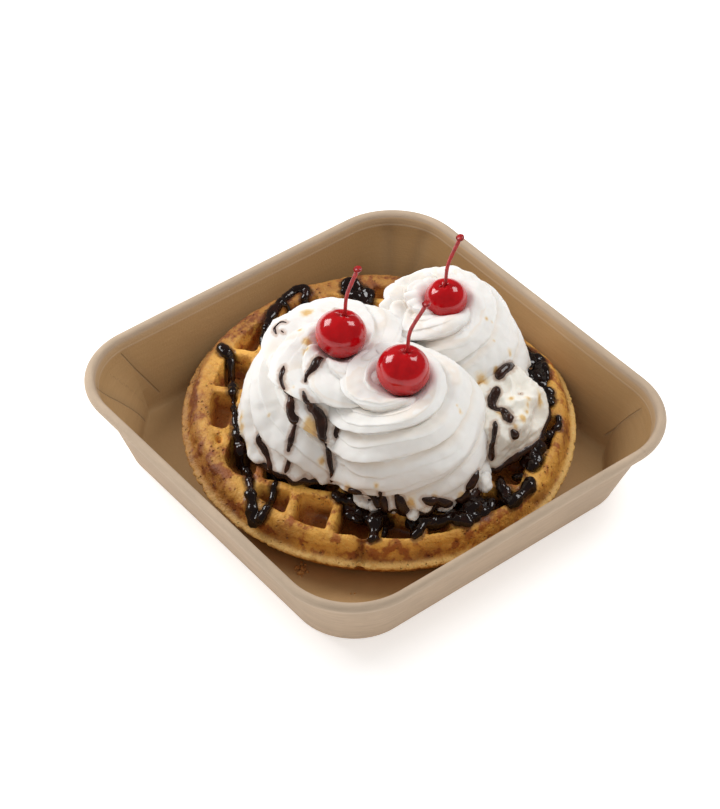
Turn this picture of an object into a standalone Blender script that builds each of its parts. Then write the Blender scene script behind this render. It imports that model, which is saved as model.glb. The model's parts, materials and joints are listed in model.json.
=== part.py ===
"""Waffle sundae: a round waffle in a square board tray, under three swirls of cream, a lump of ice cream,
drizzled chocolate and three cherries on their stems. Metres, +Z up, origin under the middle of the tray."""

import math
from collections import namedtuple

import bmesh
import bpy
from mathutils import Matrix, Vector, noise

GAP = 0.0003  # between pieces that touch
WELD = 0.00001
SHARP_ANGLE = math.radians(38)

# Tray: a square of board with round corners, walls that lean out and a rolled rim
RIM_HALF = 0.1000
RIM_CORNER = 0.0350
RIM_TOP = 0.0394
BEAD_WIDTH = 0.0082
BEAD_HEIGHT = 0.0060
BASE_HALF = 0.0849
BASE_CORNER = 0.0276
BASE_EDGE = 0.0014
BOARD = 0.0008
FLOOR_HALF = 0.0822
FLOOR_CORNER = 0.0220
FLOOR_FILLET = ((0.0021, 0.0024), (0.0012, 0.0008), (0.0, 0.0))  # out and up from the floor's edge
WALL_UNDER_BEAD = 0.94  # share of the bead's width that overhangs the outer wall
INNER_LIP = 0.3
BEAD_ANGLES = range(-60, 151, 30)  # round the bead's section, in degrees
CORNER_STEPS = 8

# Waffle: a round one of seven inches, leaning on the tray's back walls
WAFFLE_RADIUS = 0.0870
WAFFLE_THICK = 0.0242
WAFFLE_CENTRE = (-0.0018, 0.0050, 0.0298)  # middle of the top face
WAFFLE_TILT = math.radians(3.0)
TILT_AXIS = (0.645, 0.764, 0.0)
WALL_REACH = 0.0873  # half the room between the tray's walls at the flange
WAFFLE_STEPS = 54
OUTLINE_WAVES = ((0.006, 3, 0.8), (0.004, 5, 2.1))  # share of the radius, number of waves, where they start
LEAST_ALONG = 0.1  # directions nearly along a wall aren't limited by it
# Half its section as radius and height: top face, round shoulder, flange, narrower lower half
WAFFLE_PROFILE = (
    (0.0, 0.0), (0.0815, 0.0), (0.0838, -0.0008), (0.0853, -0.0030), (0.0858, -0.0070), (0.0862, -0.0105),
    (WAFFLE_RADIUS, -0.0120), (0.0868, -0.0136), (0.0842, -0.0150), (0.0822, -0.0195), (0.0790, -WAFFLE_THICK),
    (0.0, -WAFFLE_THICK),
)

# Pockets of the waffle's grid
PITCH_U = 0.0185
PITCH_V = 0.0240
RIB = 0.0042
POCKET_DEPTH = 0.0110
POCKET_DRAFT = 0.0017
POCKET_BEVEL = 0.0016
CUTTER_RISE = 0.002  # how far the pockets' cutters stand above the top face
HIDDEN_INSET = 0.0150  # cells whose middles are this far inside a swirl's foot aren't cut
GRID_ANGLE = math.radians(37.2)
GRID_PHASE_U = -0.0031  # where a rib's middle runs, along each of the grid's directions
GRID_PHASE_V = -0.0107
GRID_RADIUS = 0.0747  # of the round rim that ends the grid
GRID_CENTRE = (0.0042, 0.0004)
POCKET_LEAST = 0.0065  # a cell that reaches less far than this inside the rim is left as crust

# Chocolate
DRIZZLE_LIFT = 0.0009
DRIZZLE_SAG = 0.0035
SAG_SPREAD = 1.6  # over one, the drizzle lies level in the middle of a pocket
DRIZZLE_UNEVEN = 0.35
DRIZZLE_GRAIN = 90  # lumps in the drizzle for each metre

Swirl = namedtuple("Swirl", "name x y radius height fullness lean_x lean_y layers turn ridge rough squash")
SWIRLS = (
    Swirl("cream_front", 0.0329, -0.0094, 0.0355, 0.0465, 0.54, -0.0048, -0.0028, 5, 0.10, 0.0026, 0.0016, 1),
    Swirl("cream_left", -0.0037, -0.0300, 0.0350, 0.0470, 0.54, 0.0000, 0.0103, 4.5, 0.55, 0.0026, 0.0016, 1),
    Swirl("cream_back", 0.0076, 0.0375, 0.0335, 0.0430, 0.48, -0.0043, -0.0049, 5, 0.30, 0.0024, 0.0016, 1),
)
ICE_CREAM = Swirl("ice_cream", 0.0450, 0.0310, 0.0285, 0.0240, 0.60, -0.0040, -0.0020, 1, 0, 0.0, 0.0060, 0.74)
ICE_CREAM_TURN = math.radians(118)
SIDE_SHARE = 0.90  # of a swirl's rows, the rest close its underside
TUCK = 0.08  # how much narrower a swirl is where it meets the waffle
TUCK_HEIGHT = 0.0025
HOLLOW = 0.0085  # dip at the top of a swirl, where the cherry sits
HOLLOW_SHARE = 0.42  # of a swirl's radius
ROPE_POWER = 0.75  # under one, the winding rope is round and the creases beside it sharp
ROPE_LEVEL = 0.6  # the part of the rope's height that lies below the outline
ROPE_START = 0.10  # shares of the rise over which the rope begins, ends and stops being ragged
ROPE_END = 0.14
RAGGED_END = 0.2
RAGGED_GRAIN = (2.2, 3, 100)  # lumps round the swirl, up it, and from one swirl to the next
SLOPE_STEP = 0.01
SWIRL_MESH = (28, 22)  # columns and rows of a swirl's skin
ICE_CREAM_MESH = (20, 13)

Cherry = namedtuple("Cherry", "name centre radius axis stem")
CHERRIES = (
    Cherry("cherry_front", (0.0281, -0.0122, 0.0499), 0.0113, (-0.07, 0.20, 0.98), (0.0031, 0.0074, 0.0288)),
    Cherry("cherry_left", (-0.0037, -0.0197, 0.0508), 0.0109, (-0.13, 0.28, 0.95), (0.0013, 0.0059, 0.0276)),
    Cherry("cherry_back", (0.0033, 0.0326, 0.0453), 0.0094, (-0.18, -0.11, 0.98), (0.0014, 0.0063, 0.0278)),
)
DIMPLE = 0.0022
DIMPLE_SHARE = 0.45  # of a cherry's radius
CHERRY_FLAT = 0.95
CHERRY_MESH = (16, 11)  # columns and rows
STEM_RADIUS = 0.0009
# Along a stem: share of its length, share of its level reach that it bows by, and thickness
STEM_KNOTS = ((0.0, 0.0, 1.3), (0.15, 0.05, 1.05), (0.5, 0.28, 0.95), (0.93, 0.0, 1.15), (1.0, 0.0, 2.1))

# Drizzle on the waffle: its radius, then its places on the top face, from the middle
WAFFLE_DRIZZLE = (
    (0.0021, ((-0.069, -0.034), (-0.064, -0.033), (-0.051, -0.040), (-0.042, -0.049), (-0.026, -0.061),
              (-0.020, -0.063), (-0.008, -0.068), (0.004, -0.075), (0.017, -0.0815))),
    (0.0019, ((0.007, -0.067), (0.012, -0.074), (0.0165, -0.0805))),
    (0.0021, ((-0.035, -0.052), (-0.024, -0.057), (-0.012, -0.062), (0.000, -0.064), (0.010, -0.060))),
    (0.0022, ((-0.060, -0.013), (-0.069, -0.009), (-0.076, -0.001), (-0.080, 0.008), (-0.079, 0.018),
              (-0.073, 0.018), (-0.067, 0.012))),
    (0.0018, ((-0.0755, 0.006), (-0.066, 0.004))),
    (0.0030, ((0.034, -0.058), (0.043, -0.053), (0.049, -0.047), (0.060, -0.050))),
    (0.0018, ((0.054, -0.035), (0.066, -0.037), (0.066, -0.020))),
    (0.0044, ((0.016, 0.074), (0.028, 0.073), (0.038, 0.069), (0.047, 0.062), (0.055, 0.054))),
    (0.0026, ((0.055, 0.056), (0.062, 0.048), (0.061, 0.040), (0.067, 0.030), (0.072, 0.019))),
    (0.0036, ((0.066, -0.013), (0.074, -0.006), (0.075, 0.002))),
    (0.0036, ((-0.064, 0.031), (-0.060, 0.041), (-0.050, 0.042))),
)
# Blobs of chocolate: place on the top face and size across
WAFFLE_BLOBS = (
    (0.039, -0.054, 0.0115), (-0.054, 0.036, 0.0105), (0.0745, 0.010, 0.0095), (0.0765, 0.017, 0.0100),
    (0.023, 0.069, 0.0100), (0.044, 0.067, 0.0115), (0.053, 0.060, 0.0105),
)
BLOB_RISE = 0.0032
BLOB_LIFT = 0.0004
BLOB_UNEVEN = 0.22
BLOB_GRAIN = 1.7

# Drizzle on the left swirl, as pairs of turn about its middle in degrees and share of its height
SWIRL_DRIZZLE = (
    ((-150, 0.62), (-146, 0.48), (-140, 0.34), (-132, 0.20), (-122, 0.08)),
    ((-104, 0.86), (-100, 0.66), (-90, 0.50), (-86, 0.32), (-78, 0.14)),
    ((-58, 0.90), (-60, 0.72), (-50, 0.54), (-44, 0.38), (-36, 0.22)),
)
SWIRL_DRIZZLE_RADIUS = 0.0019
STRIPE_LIFT = 0.0004


def material(name, colour, roughness, metallic=0.0):
    made = bpy.data.materials.new(name)
    made.use_nodes = True
    shader = made.node_tree.nodes["Principled BSDF"]
    shader.inputs["Base Color"].default_value = (*colour, 1.0)
    shader.inputs["Roughness"].default_value = roughness
    shader.inputs["Metallic"].default_value = metallic
    return made


def new_collection(name, hidden=False):
    made = bpy.data.collections.new(name)
    made.hide_render = hidden
    bpy.context.scene.collection.children.link(made)
    return made


def new_object(name, data, collection, finish=None, parent=None):
    obj = bpy.data.objects.new(name, data)
    collection.objects.link(obj)
    if finish:
        obj.data.materials.append(finish)
    if parent:
        obj.parent = parent
    if collection.hide_render:
        obj.hide_render = True
        obj.display_type = "WIRE"
    return obj


def empty(collection):
    for obj in list(collection.objects):
        bpy.data.objects.remove(obj)


def mesh_object(name, bm, collection, finish=None, parent=None):
    mesh = bpy.data.meshes.new(name)
    bm.to_mesh(mesh)
    bm.free()
    return new_object(name, mesh, collection, finish, parent)


def apply_modifiers(obj):
    bpy.context.view_layer.update()
    graph = bpy.context.evaluated_depsgraph_get()
    mesh = bpy.data.meshes.new_from_object(obj.evaluated_get(graph))
    obj.modifiers.clear()
    obj.data = mesh


def boolean(obj, operation, other, solver="EXACT"):
    """Joins, cuts or keeps what obj shares with an object or with all the objects of a collection."""
    modifier = obj.modifiers.new(operation.title(), "BOOLEAN")
    modifier.operation = operation
    modifier.solver = solver
    if isinstance(other, bpy.types.Collection):
        modifier.operand_type = "COLLECTION"
        modifier.collection = other
    else:
        modifier.object = other
    apply_modifiers(obj)


def keep_largest_piece(obj):
    """Deletes the loose scraps that a cut leaves beside the main body."""
    bm = bmesh.new()
    bm.from_mesh(obj.data)
    unseen = set(bm.verts)
    pieces = []
    while unseen:
        piece, edge = set(), [unseen.pop()]
        while edge:
            vert = edge.pop()
            piece.add(vert)
            near = {e.other_vert(vert) for e in vert.link_edges} & unseen
            unseen -= near
            edge.extend(near)
        pieces.append(piece)
    pieces.sort(key=len)
    scraps = [vert for piece in pieces[:-1] for vert in piece]
    bmesh.ops.delete(bm, geom=scraps, context="VERTS")
    bm.to_mesh(obj.data)
    bm.free()


def smooth(obj, angle=SHARP_ANGLE):
    obj.data.shade_smooth()
    obj.data.set_sharp_from_angle(angle=angle)


def rounded_square(half, corner, height):
    """The points of a level square with round corners, anticlockwise."""
    points = []
    for quarter in range(4):
        middle = quarter * math.pi / 2 + math.pi / 4
        centre = Vector((math.cos(middle), math.sin(middle))) * math.sqrt(2) * (half - corner)
        for step in range(CORNER_STEPS + 1):
            angle = quarter * math.pi / 2 + step / CORNER_STEPS * math.pi / 2
            points.append((centre.x + corner * math.cos(angle), centre.y + corner * math.sin(angle), height))
    return points


def tray_sections():
    """Sections of the tray's skin as half width, corner radius and height, from under the base over the rim
    to the floor."""
    bead_middle = RIM_HALF - BEAD_WIDTH / 2
    bead_level = RIM_TOP - BEAD_HEIGHT / 2
    corner_inset = RIM_HALF - RIM_CORNER
    wall_top = RIM_HALF - BEAD_WIDTH * WALL_UNDER_BEAD
    inner_top = wall_top - BOARD
    sections = [
        (BASE_HALF - BASE_EDGE, BASE_CORNER - BASE_EDGE, 0.0),
        (BASE_HALF, BASE_CORNER, BASE_EDGE),
        (wall_top, wall_top - corner_inset, bead_level - BEAD_HEIGHT / 2),
    ]
    for degrees in BEAD_ANGLES:
        angle = math.radians(degrees)
        half = bead_middle + BEAD_WIDTH / 2 * math.cos(angle)
        sections.append((half, half - corner_inset, bead_level + BEAD_HEIGHT / 2 * math.sin(angle)))
    sections += [
        (inner_top, inner_top - corner_inset, bead_level - BEAD_HEIGHT * INNER_LIP),
    ]
    for out, rise in FLOOR_FILLET:
        sections.append((FLOOR_HALF + out, FLOOR_CORNER + out, BOARD + rise))
    return sections


def make_tray(parts):
    bm = bmesh.new()
    rings = [[bm.verts.new(p) for p in rounded_square(*section)] for section in tray_sections()]
    for low, high in zip(rings, rings[1:]):
        for i in range(len(low)):
            j = (i + 1) % len(low)
            bm.faces.new((low[i], low[j], high[j], high[i]))
    bm.faces.new(reversed(rings[0]))
    bm.faces.new(rings[-1])
    board = material("kraft_board", (0.47, 0.33, 0.20), 0.75)
    smooth(mesh_object("tray", bm, parts, board))


def waffle_reach(angle):
    """The waffle's outline in one direction, as a share of its radius: a little uneven, and pressed flat
    where it meets the tray's walls."""
    uneven = 1 + sum(share * math.sin(waves * angle + start) for share, waves, start in OUTLINE_WAVES)
    limits = [uneven * WAFFLE_RADIUS]
    for along, centre in ((math.cos(angle), WAFFLE_CENTRE[0]), (math.sin(angle), WAFFLE_CENTRE[1])):
        if abs(along) > LEAST_ALONG:
            limits.append((WALL_REACH - math.copysign(centre, along * centre)) / abs(along))
    return min(limits) / WAFFLE_RADIUS


def waffle_body(parts, finish, pose):
    """The profile turned about the middle, then pressed to its outline."""
    lines = [(i, i + 1) for i in range(len(WAFFLE_PROFILE) - 1)]
    mesh = bpy.data.meshes.new("waffle")
    mesh.from_pydata([(x, 0.0, z) for x, z in WAFFLE_PROFILE], lines, [])
    body = new_object("waffle", mesh, parts, finish, pose)
    turn = body.modifiers.new("Turn", "SCREW")
    turn.steps = turn.render_steps = WAFFLE_STEPS
    turn.use_merge_vertices = True
    turn.merge_threshold = WELD
    apply_modifiers(body)
    for vert in body.data.vertices:
        reach = waffle_reach(math.atan2(vert.co.y, vert.co.x))
        vert.co.x *= reach
        vert.co.y *= reach
    return body


def grid_cells():
    """Centres of the grid's cells, in the grid's own directions."""
    many = math.ceil(WAFFLE_RADIUS / PITCH_U)
    middle = Matrix.Rotation(-GRID_ANGLE, 2) @ Vector(GRID_CENTRE)
    for i in range(-many, many + 1):
        for j in range(-many, many + 1):
            u, v = (i + 0.5) * PITCH_U + GRID_PHASE_U, (j + 0.5) * PITCH_V + GRID_PHASE_V
            nearest_u = max(abs(u - middle.x) - (PITCH_U - RIB) / 2, 0.0)
            nearest_v = max(abs(v - middle.y) - (PITCH_V - RIB) / 2, 0.0)
            if math.hypot(nearest_u, nearest_v) < GRID_RADIUS - POCKET_LEAST:
                yield u, v


def under_cream(x, y):
    """Whether a place on the waffle's top lies well inside a swirl, where the grid can't be seen."""
    return any(math.hypot(x - s.x, y - s.y) < s.radius - HIDDEN_INSET for s in SWIRLS + (ICE_CREAM,))


def make_pocket_cutters(cutters, pose):
    """Tapered blocks for the pockets, clipped by the round rim."""
    bm = bmesh.new()
    turn = Matrix.Rotation(GRID_ANGLE, 4, "Z")
    for u, v in grid_cells():
        place = turn @ Vector((u, v, 0.0))
        if under_cream(place.x, place.y):
            continue
        made = bmesh.ops.create_cube(bm, size=1.0)["verts"]
        for vert in made:
            low = vert.co.z < 0
            side_u = PITCH_U - RIB - 2 * POCKET_DRAFT * low
            side_v = PITCH_V - RIB - 2 * POCKET_DRAFT * low
            vert.co = Vector((vert.co.x * side_u, vert.co.y * side_v, -POCKET_DEPTH if low else CUTTER_RISE))
        uprights = [e for e in bm.edges if e.verts[0] in made and e.verts[0].co.z * e.verts[1].co.z < 0]
        bevelled = bmesh.ops.bevel(bm, geom=uprights, offset=POCKET_BEVEL, segments=1, affect="EDGES")
        own = {v for face in bevelled["faces"] for v in face.verts} | {v for v in made if v.is_valid}
        bmesh.ops.transform(bm, matrix=turn @ Matrix.Translation((u, v, 0.0)), verts=list(own))
    blocks = mesh_object("pocket_blocks", bm, cutters, parent=pose)
    bm = bmesh.new()
    bmesh.ops.create_cone(
        bm, cap_ends=True, segments=WAFFLE_STEPS, radius1=GRID_RADIUS, radius2=GRID_RADIUS,
        depth=2 * WAFFLE_THICK)
    bmesh.ops.translate(bm, vec=(*GRID_CENTRE, 0.0), verts=bm.verts)
    rim = mesh_object("pocket_rim", bm, cutters, parent=pose)
    boolean(blocks, "INTERSECT", rim)
    return blocks


def surface_drop(x, y):
    """How far drizzle sags at a place on the waffle's top: nothing on a rib, most in the middle of a pocket."""
    if math.hypot(x - GRID_CENTRE[0], y - GRID_CENTRE[1]) > GRID_RADIUS:
        return 0.0
    place = Matrix.Rotation(-GRID_ANGLE, 3, "Z") @ Vector((x, y, 0.0))
    share_u = abs(math.sin(math.pi * (place.x - GRID_PHASE_U) / PITCH_U))
    share_v = abs(math.sin(math.pi * (place.y - GRID_PHASE_V) / PITCH_V))
    return DRIZZLE_SAG * min(1.0, SAG_SPREAD * share_u * share_v)


def tube(name, points, radius, collection, parent, thickness=None):
    """A closed tube along a smooth curve through the points, as a mesh."""
    curve = bpy.data.curves.new(name, "CURVE")
    curve.dimensions = "3D"
    curve.bevel_depth = radius
    curve.bevel_resolution = 1
    curve.resolution_u = 2
    curve.use_fill_caps = True
    spline = curve.splines.new("BEZIER")
    spline.bezier_points.add(len(points) - 1)
    for i, (knot, point) in enumerate(zip(spline.bezier_points, points)):
        knot.co = point
        knot.handle_left_type = knot.handle_right_type = "AUTO"
        knot.radius = thickness[i] if thickness else 1.0
    guide = new_object(name + "_line", curve, collection, parent=parent)
    bpy.context.view_layer.update()
    graph = bpy.context.evaluated_depsgraph_get()
    mesh = bpy.data.meshes.new_from_object(guide.evaluated_get(graph))
    bpy.data.objects.remove(guide)
    bm = bmesh.new()
    bm.from_mesh(mesh)
    bmesh.ops.remove_doubles(bm, verts=bm.verts, dist=WELD)
    return mesh_object(name, bm, collection, parent=parent)


def uneven_thickness(points, seed):
    places = [Vector((point[0], point[1], seed)) * DRIZZLE_GRAIN for point in points]
    return [1.0 + DRIZZLE_UNEVEN * noise.noise(place) for place in places]


def make_waffle_chocolate(collection, pose):
    """Drizzle over the grid and blobs beside the cream, as loose solids that the waffle is joined with."""
    for n, (radius, route) in enumerate(WAFFLE_DRIZZLE):
        points = [(x, y, DRIZZLE_LIFT - surface_drop(x, y)) for x, y in route]
        tube(f"drizzle_{n}", points, radius, collection, pose, uneven_thickness(points, n))
    for n, (x, y, across) in enumerate(WAFFLE_BLOBS):
        bm = bmesh.new()
        bmesh.ops.create_icosphere(bm, subdivisions=2, radius=1.0)
        for vert in bm.verts:
            lump = 1 + BLOB_UNEVEN * noise.noise(vert.co * BLOB_GRAIN + Vector((n, 0, 0)))
            vert.co = Vector((vert.co.x * across / 2, vert.co.y * across / 2, vert.co.z * BLOB_RISE)) * lump
            vert.co += Vector((x, y, BLOB_LIFT))
        mesh_object(f"blob_{n}", bm, collection, parent=pose)


def swirl_outline(swirl, rise):
    """Half the section of a swirl: radius and height at a share of the way from its foot to its top."""
    angle = rise * math.pi / 2
    radius = swirl.radius * max(math.cos(angle), 0.0) ** swirl.fullness
    height = swirl.height * math.sin(angle)
    radius *= 1 - TUCK * math.exp(-height / TUCK_HEIGHT)
    hollow = max(0.0, 1 - (radius / (HOLLOW_SHARE * swirl.radius)) ** 2) ** 2
    return radius, height - HOLLOW * hollow * (swirl.squash == 1)


def swirl_point(swirl, angle, rise, grow):
    """A place on a swirl's skin: its outline pushed out where the winding rope of cream is thick."""
    radius, height = swirl_outline(swirl, rise)
    r0, h0 = swirl_outline(swirl, max(rise - SLOPE_STEP, 0.0))
    r1, h1 = swirl_outline(swirl, min(rise + SLOPE_STEP, 1.0))
    outward = Vector((h1 - h0, r0 - r1)).normalized()
    wind = swirl.layers * rise - angle / (2 * math.pi) + swirl.turn
    rope = abs(math.sin(math.pi * wind)) ** ROPE_POWER - ROPE_LEVEL
    fade = min(1.0, rise / ROPE_START) * min(1.0, (1 - rise) / ROPE_END)
    across, along, apart = RAGGED_GRAIN
    place = (math.cos(angle) * across, math.sin(angle) * across, rise * along + swirl.x * apart)
    ragged = noise.noise(Vector(place))
    push = swirl.ridge * rope * fade + swirl.rough * ragged * min(1.0, (1 - rise) / RAGGED_END) + grow
    radius += push * outward.x
    height += push * outward.y
    share = max(height, 0.0) / swirl.height
    return Vector((
        radius * math.cos(angle) + swirl.lean_x * share,
        radius * math.sin(angle) * swirl.squash + swirl.lean_y * share,
        height,
    ))


def swirl_solid(swirl, collection, finish, pose, grow=0.0):
    """A ball whose upper rows become the swirl's skin and whose last rows become its flat underside."""
    is_swirl = swirl.name != ICE_CREAM.name
    columns, rows = SWIRL_MESH if is_swirl else ICE_CREAM_MESH
    bm = bmesh.new()
    bmesh.ops.create_uvsphere(bm, u_segments=columns, v_segments=rows, radius=1.0)
    for vert in bm.verts:
        angle = math.atan2(vert.co.y, vert.co.x)
        down = math.acos(max(-1.0, min(1.0, vert.co.z))) / math.pi
        if down <= SIDE_SHARE:
            vert.co = swirl_point(swirl, angle, 1 - down / SIDE_SHARE, grow)
        else:
            foot = swirl_point(swirl, angle, 0.0, grow)
            vert.co = Vector((foot.x, foot.y, 0.0)) * (1 - down) / (1 - SIDE_SHARE)
        if down > SIDE_SHARE - 0.5 / rows:
            vert.co.z = -grow
    if not is_swirl:
        turn = Matrix.Rotation(ICE_CREAM_TURN, 3, "Z")
        bmesh.ops.rotate(bm, cent=(0, 0, 0), matrix=turn, verts=bm.verts)
    bmesh.ops.translate(bm, vec=(swirl.x, swirl.y, 2 * GAP), verts=bm.verts)
    name = swirl.name + ("_room" if grow else "")
    return mesh_object(name, bm, collection, finish, pose)


def make_swirl_drizzle(swirl, collection, pose):
    for n, route in enumerate(SWIRL_DRIZZLE):
        points = []
        for degrees, rise in route:
            place = swirl_point(swirl, math.radians(degrees), rise, STRIPE_LIFT)
            points.append(place + Vector((swirl.x, swirl.y, 2 * GAP)))
        tube(f"stripe_{n}", points, SWIRL_DRIZZLE_RADIUS, collection, pose, uneven_thickness(points, n))


def cherry_ball(cherry, name, grow, collection, finish, pose):
    """A slightly flat ball with a dimple round its axis."""
    bm = bmesh.new()
    bmesh.ops.create_uvsphere(bm, u_segments=CHERRY_MESH[0], v_segments=CHERRY_MESH[1], radius=1.0)
    for vert in bm.verts:
        off_axis = math.hypot(vert.co.x, vert.co.y)
        dip = DIMPLE * max(0.0, 1 - off_axis / DIMPLE_SHARE) ** 2 * (vert.co.z > 0)
        vert.co *= cherry.radius + grow
        vert.co.z = vert.co.z * CHERRY_FLAT - dip
    upright = Vector((0, 0, 1)).rotation_difference(Vector(cherry.axis))
    bmesh.ops.rotate(bm, cent=(0, 0, 0), matrix=upright.to_matrix(), verts=bm.verts)
    bmesh.ops.translate(bm, vec=cherry.centre, verts=bm.verts)
    return mesh_object(name, bm, collection, finish, pose)


def make_cherry(cherry, parts, cutters, finish, pose):
    """The ball joined with its curved stem, and the room that it needs in the cream."""
    ball = cherry_ball(cherry, cherry.name, 0.0, parts, finish, pose)
    centre, axis = Vector(cherry.centre), Vector(cherry.axis).normalized()
    start = centre + axis * (cherry.radius * CHERRY_FLAT - DIMPLE - 2 * STEM_RADIUS)
    reach = Vector(cherry.stem)
    level = Vector((reach.x, reach.y, 0.0))
    points = [start + reach * share - level * bow for share, bow, _ in STEM_KNOTS]
    thickness = [thick for _, _, thick in STEM_KNOTS]
    stem = tube(cherry.name + "_stem", points, STEM_RADIUS, cutters, pose, thickness)
    boolean(ball, "UNION", stem)
    bpy.data.objects.remove(stem)
    smooth(ball)
    return cherry_ball(cherry, cherry.name + "_room", GAP, cutters, None, pose)


def main():
    for obj in list(bpy.data.objects):
        bpy.data.objects.remove(obj)
    parts = new_collection("waffle_sundae")
    cutters = new_collection("cutters", hidden=True)
    chocolate = new_collection("chocolate", hidden=True)
    pose = new_object("waffle_top", None, parts)
    pose.location = WAFFLE_CENTRE
    pose.rotation_mode = "QUATERNION"
    pose.rotation_quaternion = Matrix.Rotation(WAFFLE_TILT, 3, Vector(TILT_AXIS).normalized()).to_quaternion()

    make_tray(parts)

    cherry_red = material("cherry_red", (0.55, 0.01, 0.02), 0.12)
    cherry_rooms = [make_cherry(c, parts, cutters, cherry_red, pose) for c in CHERRIES]

    whipped = material("whipped_cream", (0.90, 0.87, 0.82), 0.55)
    rooms = []
    for swirl, cherry_room in zip(SWIRLS, cherry_rooms):
        body = swirl_solid(swirl, parts, whipped, pose)
        if swirl.name == "cream_left":
            make_swirl_drizzle(swirl, chocolate, pose)
            boolean(body, "UNION", chocolate)
            empty(chocolate)
        for room in rooms + [cherry_room]:
            boolean(body, "DIFFERENCE", room)
        keep_largest_piece(body)
        smooth(body)
        rooms.append(swirl_solid(swirl, cutters, None, pose, grow=GAP))

    frozen = material("ice_cream", (0.88, 0.78, 0.60), 0.45)
    lump = swirl_solid(ICE_CREAM, parts, frozen, pose)
    for room in rooms:
        boolean(lump, "DIFFERENCE", room, "MANIFOLD")
    keep_largest_piece(lump)
    smooth(lump)
    rooms.append(swirl_solid(ICE_CREAM, cutters, None, pose, grow=GAP))

    baked = material("waffle_crust", (0.52, 0.27, 0.09), 0.6)
    waffle = waffle_body(parts, baked, pose)
    boolean(waffle, "DIFFERENCE", make_pocket_cutters(cutters, pose))
    make_waffle_chocolate(chocolate, pose)
    boolean(waffle, "UNION", chocolate, "MANIFOLD")
    empty(chocolate)
    for room in rooms:
        boolean(waffle, "DIFFERENCE", room, "MANIFOLD")
    keep_largest_piece(waffle)
    smooth(waffle)


main()
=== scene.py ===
"""Looks of a waffle sundae in its board tray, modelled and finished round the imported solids.

Everything is in metres. The food stands on the waffle's top face, so its places are given from the middle
of that face, in millimetres, and TOP carries them to the row frame. Turns are in degrees, anticlockwise
from +X.
"""

import json
import math
import random
from collections import namedtuple

import bpy
import numpy as np
from bpy.props import FloatProperty, FloatVectorProperty, PointerProperty
from mathutils import Matrix, Vector, noise
from mathutils.bvhtree import BVHTree
from mathutils.kdtree import KDTree

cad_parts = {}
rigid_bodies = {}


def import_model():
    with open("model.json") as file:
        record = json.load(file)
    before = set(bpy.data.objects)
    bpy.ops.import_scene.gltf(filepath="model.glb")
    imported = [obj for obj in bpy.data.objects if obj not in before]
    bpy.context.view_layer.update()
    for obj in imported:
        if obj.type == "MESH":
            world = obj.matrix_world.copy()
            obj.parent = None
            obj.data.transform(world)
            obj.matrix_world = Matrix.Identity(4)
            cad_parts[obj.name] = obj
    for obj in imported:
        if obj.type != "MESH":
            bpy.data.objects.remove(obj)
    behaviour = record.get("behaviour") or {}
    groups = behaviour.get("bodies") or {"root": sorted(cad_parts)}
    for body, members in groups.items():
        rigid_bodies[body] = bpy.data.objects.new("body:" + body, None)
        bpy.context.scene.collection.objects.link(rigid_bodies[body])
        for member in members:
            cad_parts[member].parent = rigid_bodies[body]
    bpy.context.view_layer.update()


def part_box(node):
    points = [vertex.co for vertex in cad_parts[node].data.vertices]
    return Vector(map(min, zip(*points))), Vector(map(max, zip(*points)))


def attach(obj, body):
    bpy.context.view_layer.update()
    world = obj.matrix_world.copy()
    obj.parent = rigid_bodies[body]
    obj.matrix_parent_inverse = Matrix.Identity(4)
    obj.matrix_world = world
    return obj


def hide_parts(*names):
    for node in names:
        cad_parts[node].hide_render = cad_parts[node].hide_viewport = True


bl_info = {
    "name": "Waffle sundae",
    "version": (1, 0, 0),
    "blender": (4, 5, 0),
    "location": "3D View > Sidebar > Waffle sundae",
    "description": "Models and finishes a waffle sundae in a board tray",
    "category": "Add Mesh",
}

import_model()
MM = 0.001

# The tray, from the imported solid
TRAY_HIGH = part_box("tray")[1]
RIM_HALF = TRAY_HIGH.x
RIM_TOP = TRAY_HIGH.z
RIM_CORNER = 0.0350
BEAD_WIDTH = 0.0046
BEAD_HEIGHT = 0.0044
BASE_HALF = 0.0849
BASE_CORNER = 0.0276
BOARD = 0.0008
FLOOR_HALF = 0.0822
FLOOR_CORNER = 0.0205

# The waffle's top face
WAFFLE_RADIUS = 0.0870
WAFFLE_CENTRE = Vector((-0.0018, 0.0050, 0.0298))
WAFFLE_TILT = Matrix.Rotation(math.radians(3.0), 4, Vector((0.645, 0.764, 0.0)).normalized())
TOP = Matrix.Translation(WAFFLE_CENTRE) @ WAFFLE_TILT
WALL_REACH = 0.0873
GRID_TURN = math.radians(37.2)
GRID_START = (-0.0031, -0.0107)  # where one rib's middle runs, in each of the grid's directions
GRID_RADIUS = 0.0756
GRID_MIDDLE = Vector((0.0032, -0.0006))

# The middle and radius of a swirl's foot, its height, how full its outline is, how far its tip leans, its
# turns of rope from foot to tip and round it, where the rope starts and how far it tilts, how far it stands
# out, how crisp its lip is from 0 to 1, how far its skin is ruffled, and the seed of its noise
Swirl = namedtuple(
    "Swirl", "x y radius height fullness lean_x lean_y layers flutes turn tilt ridge lip ruffle seed")
FRONT = Swirl(.0325, -.0100, .0366, .0465, .54, -.0045, -.0023, 4.3, -1, 0.10, .55, .0058, .90, .0004, 3)
LEFT = Swirl(-.0037, -.0300, .0352, .0470, .54, .0000, .0103, 3.9, 6, 0.55, .00, .0104, .70, .0005, 11)
BACK = Swirl(.0072, .0372, .0330, .0452, .48, -.0043, -.0049, 3.3, -1, 0.30, .45, .0050, .80, .0005, 23)
LUMP = Swirl(.0436, .0298, .0268, .0244, .60, -.0040, -.0020, 1.0, 0, 0.0, .0, .0, .0, .0, 31)
LUMP_TURN = math.radians(118)
LUMP_SQUASH = 0.74
FOOT_LIFT = 0.0006
TUCK = 0.08  # how far a swirl's foot draws in, as a share of its radius
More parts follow.
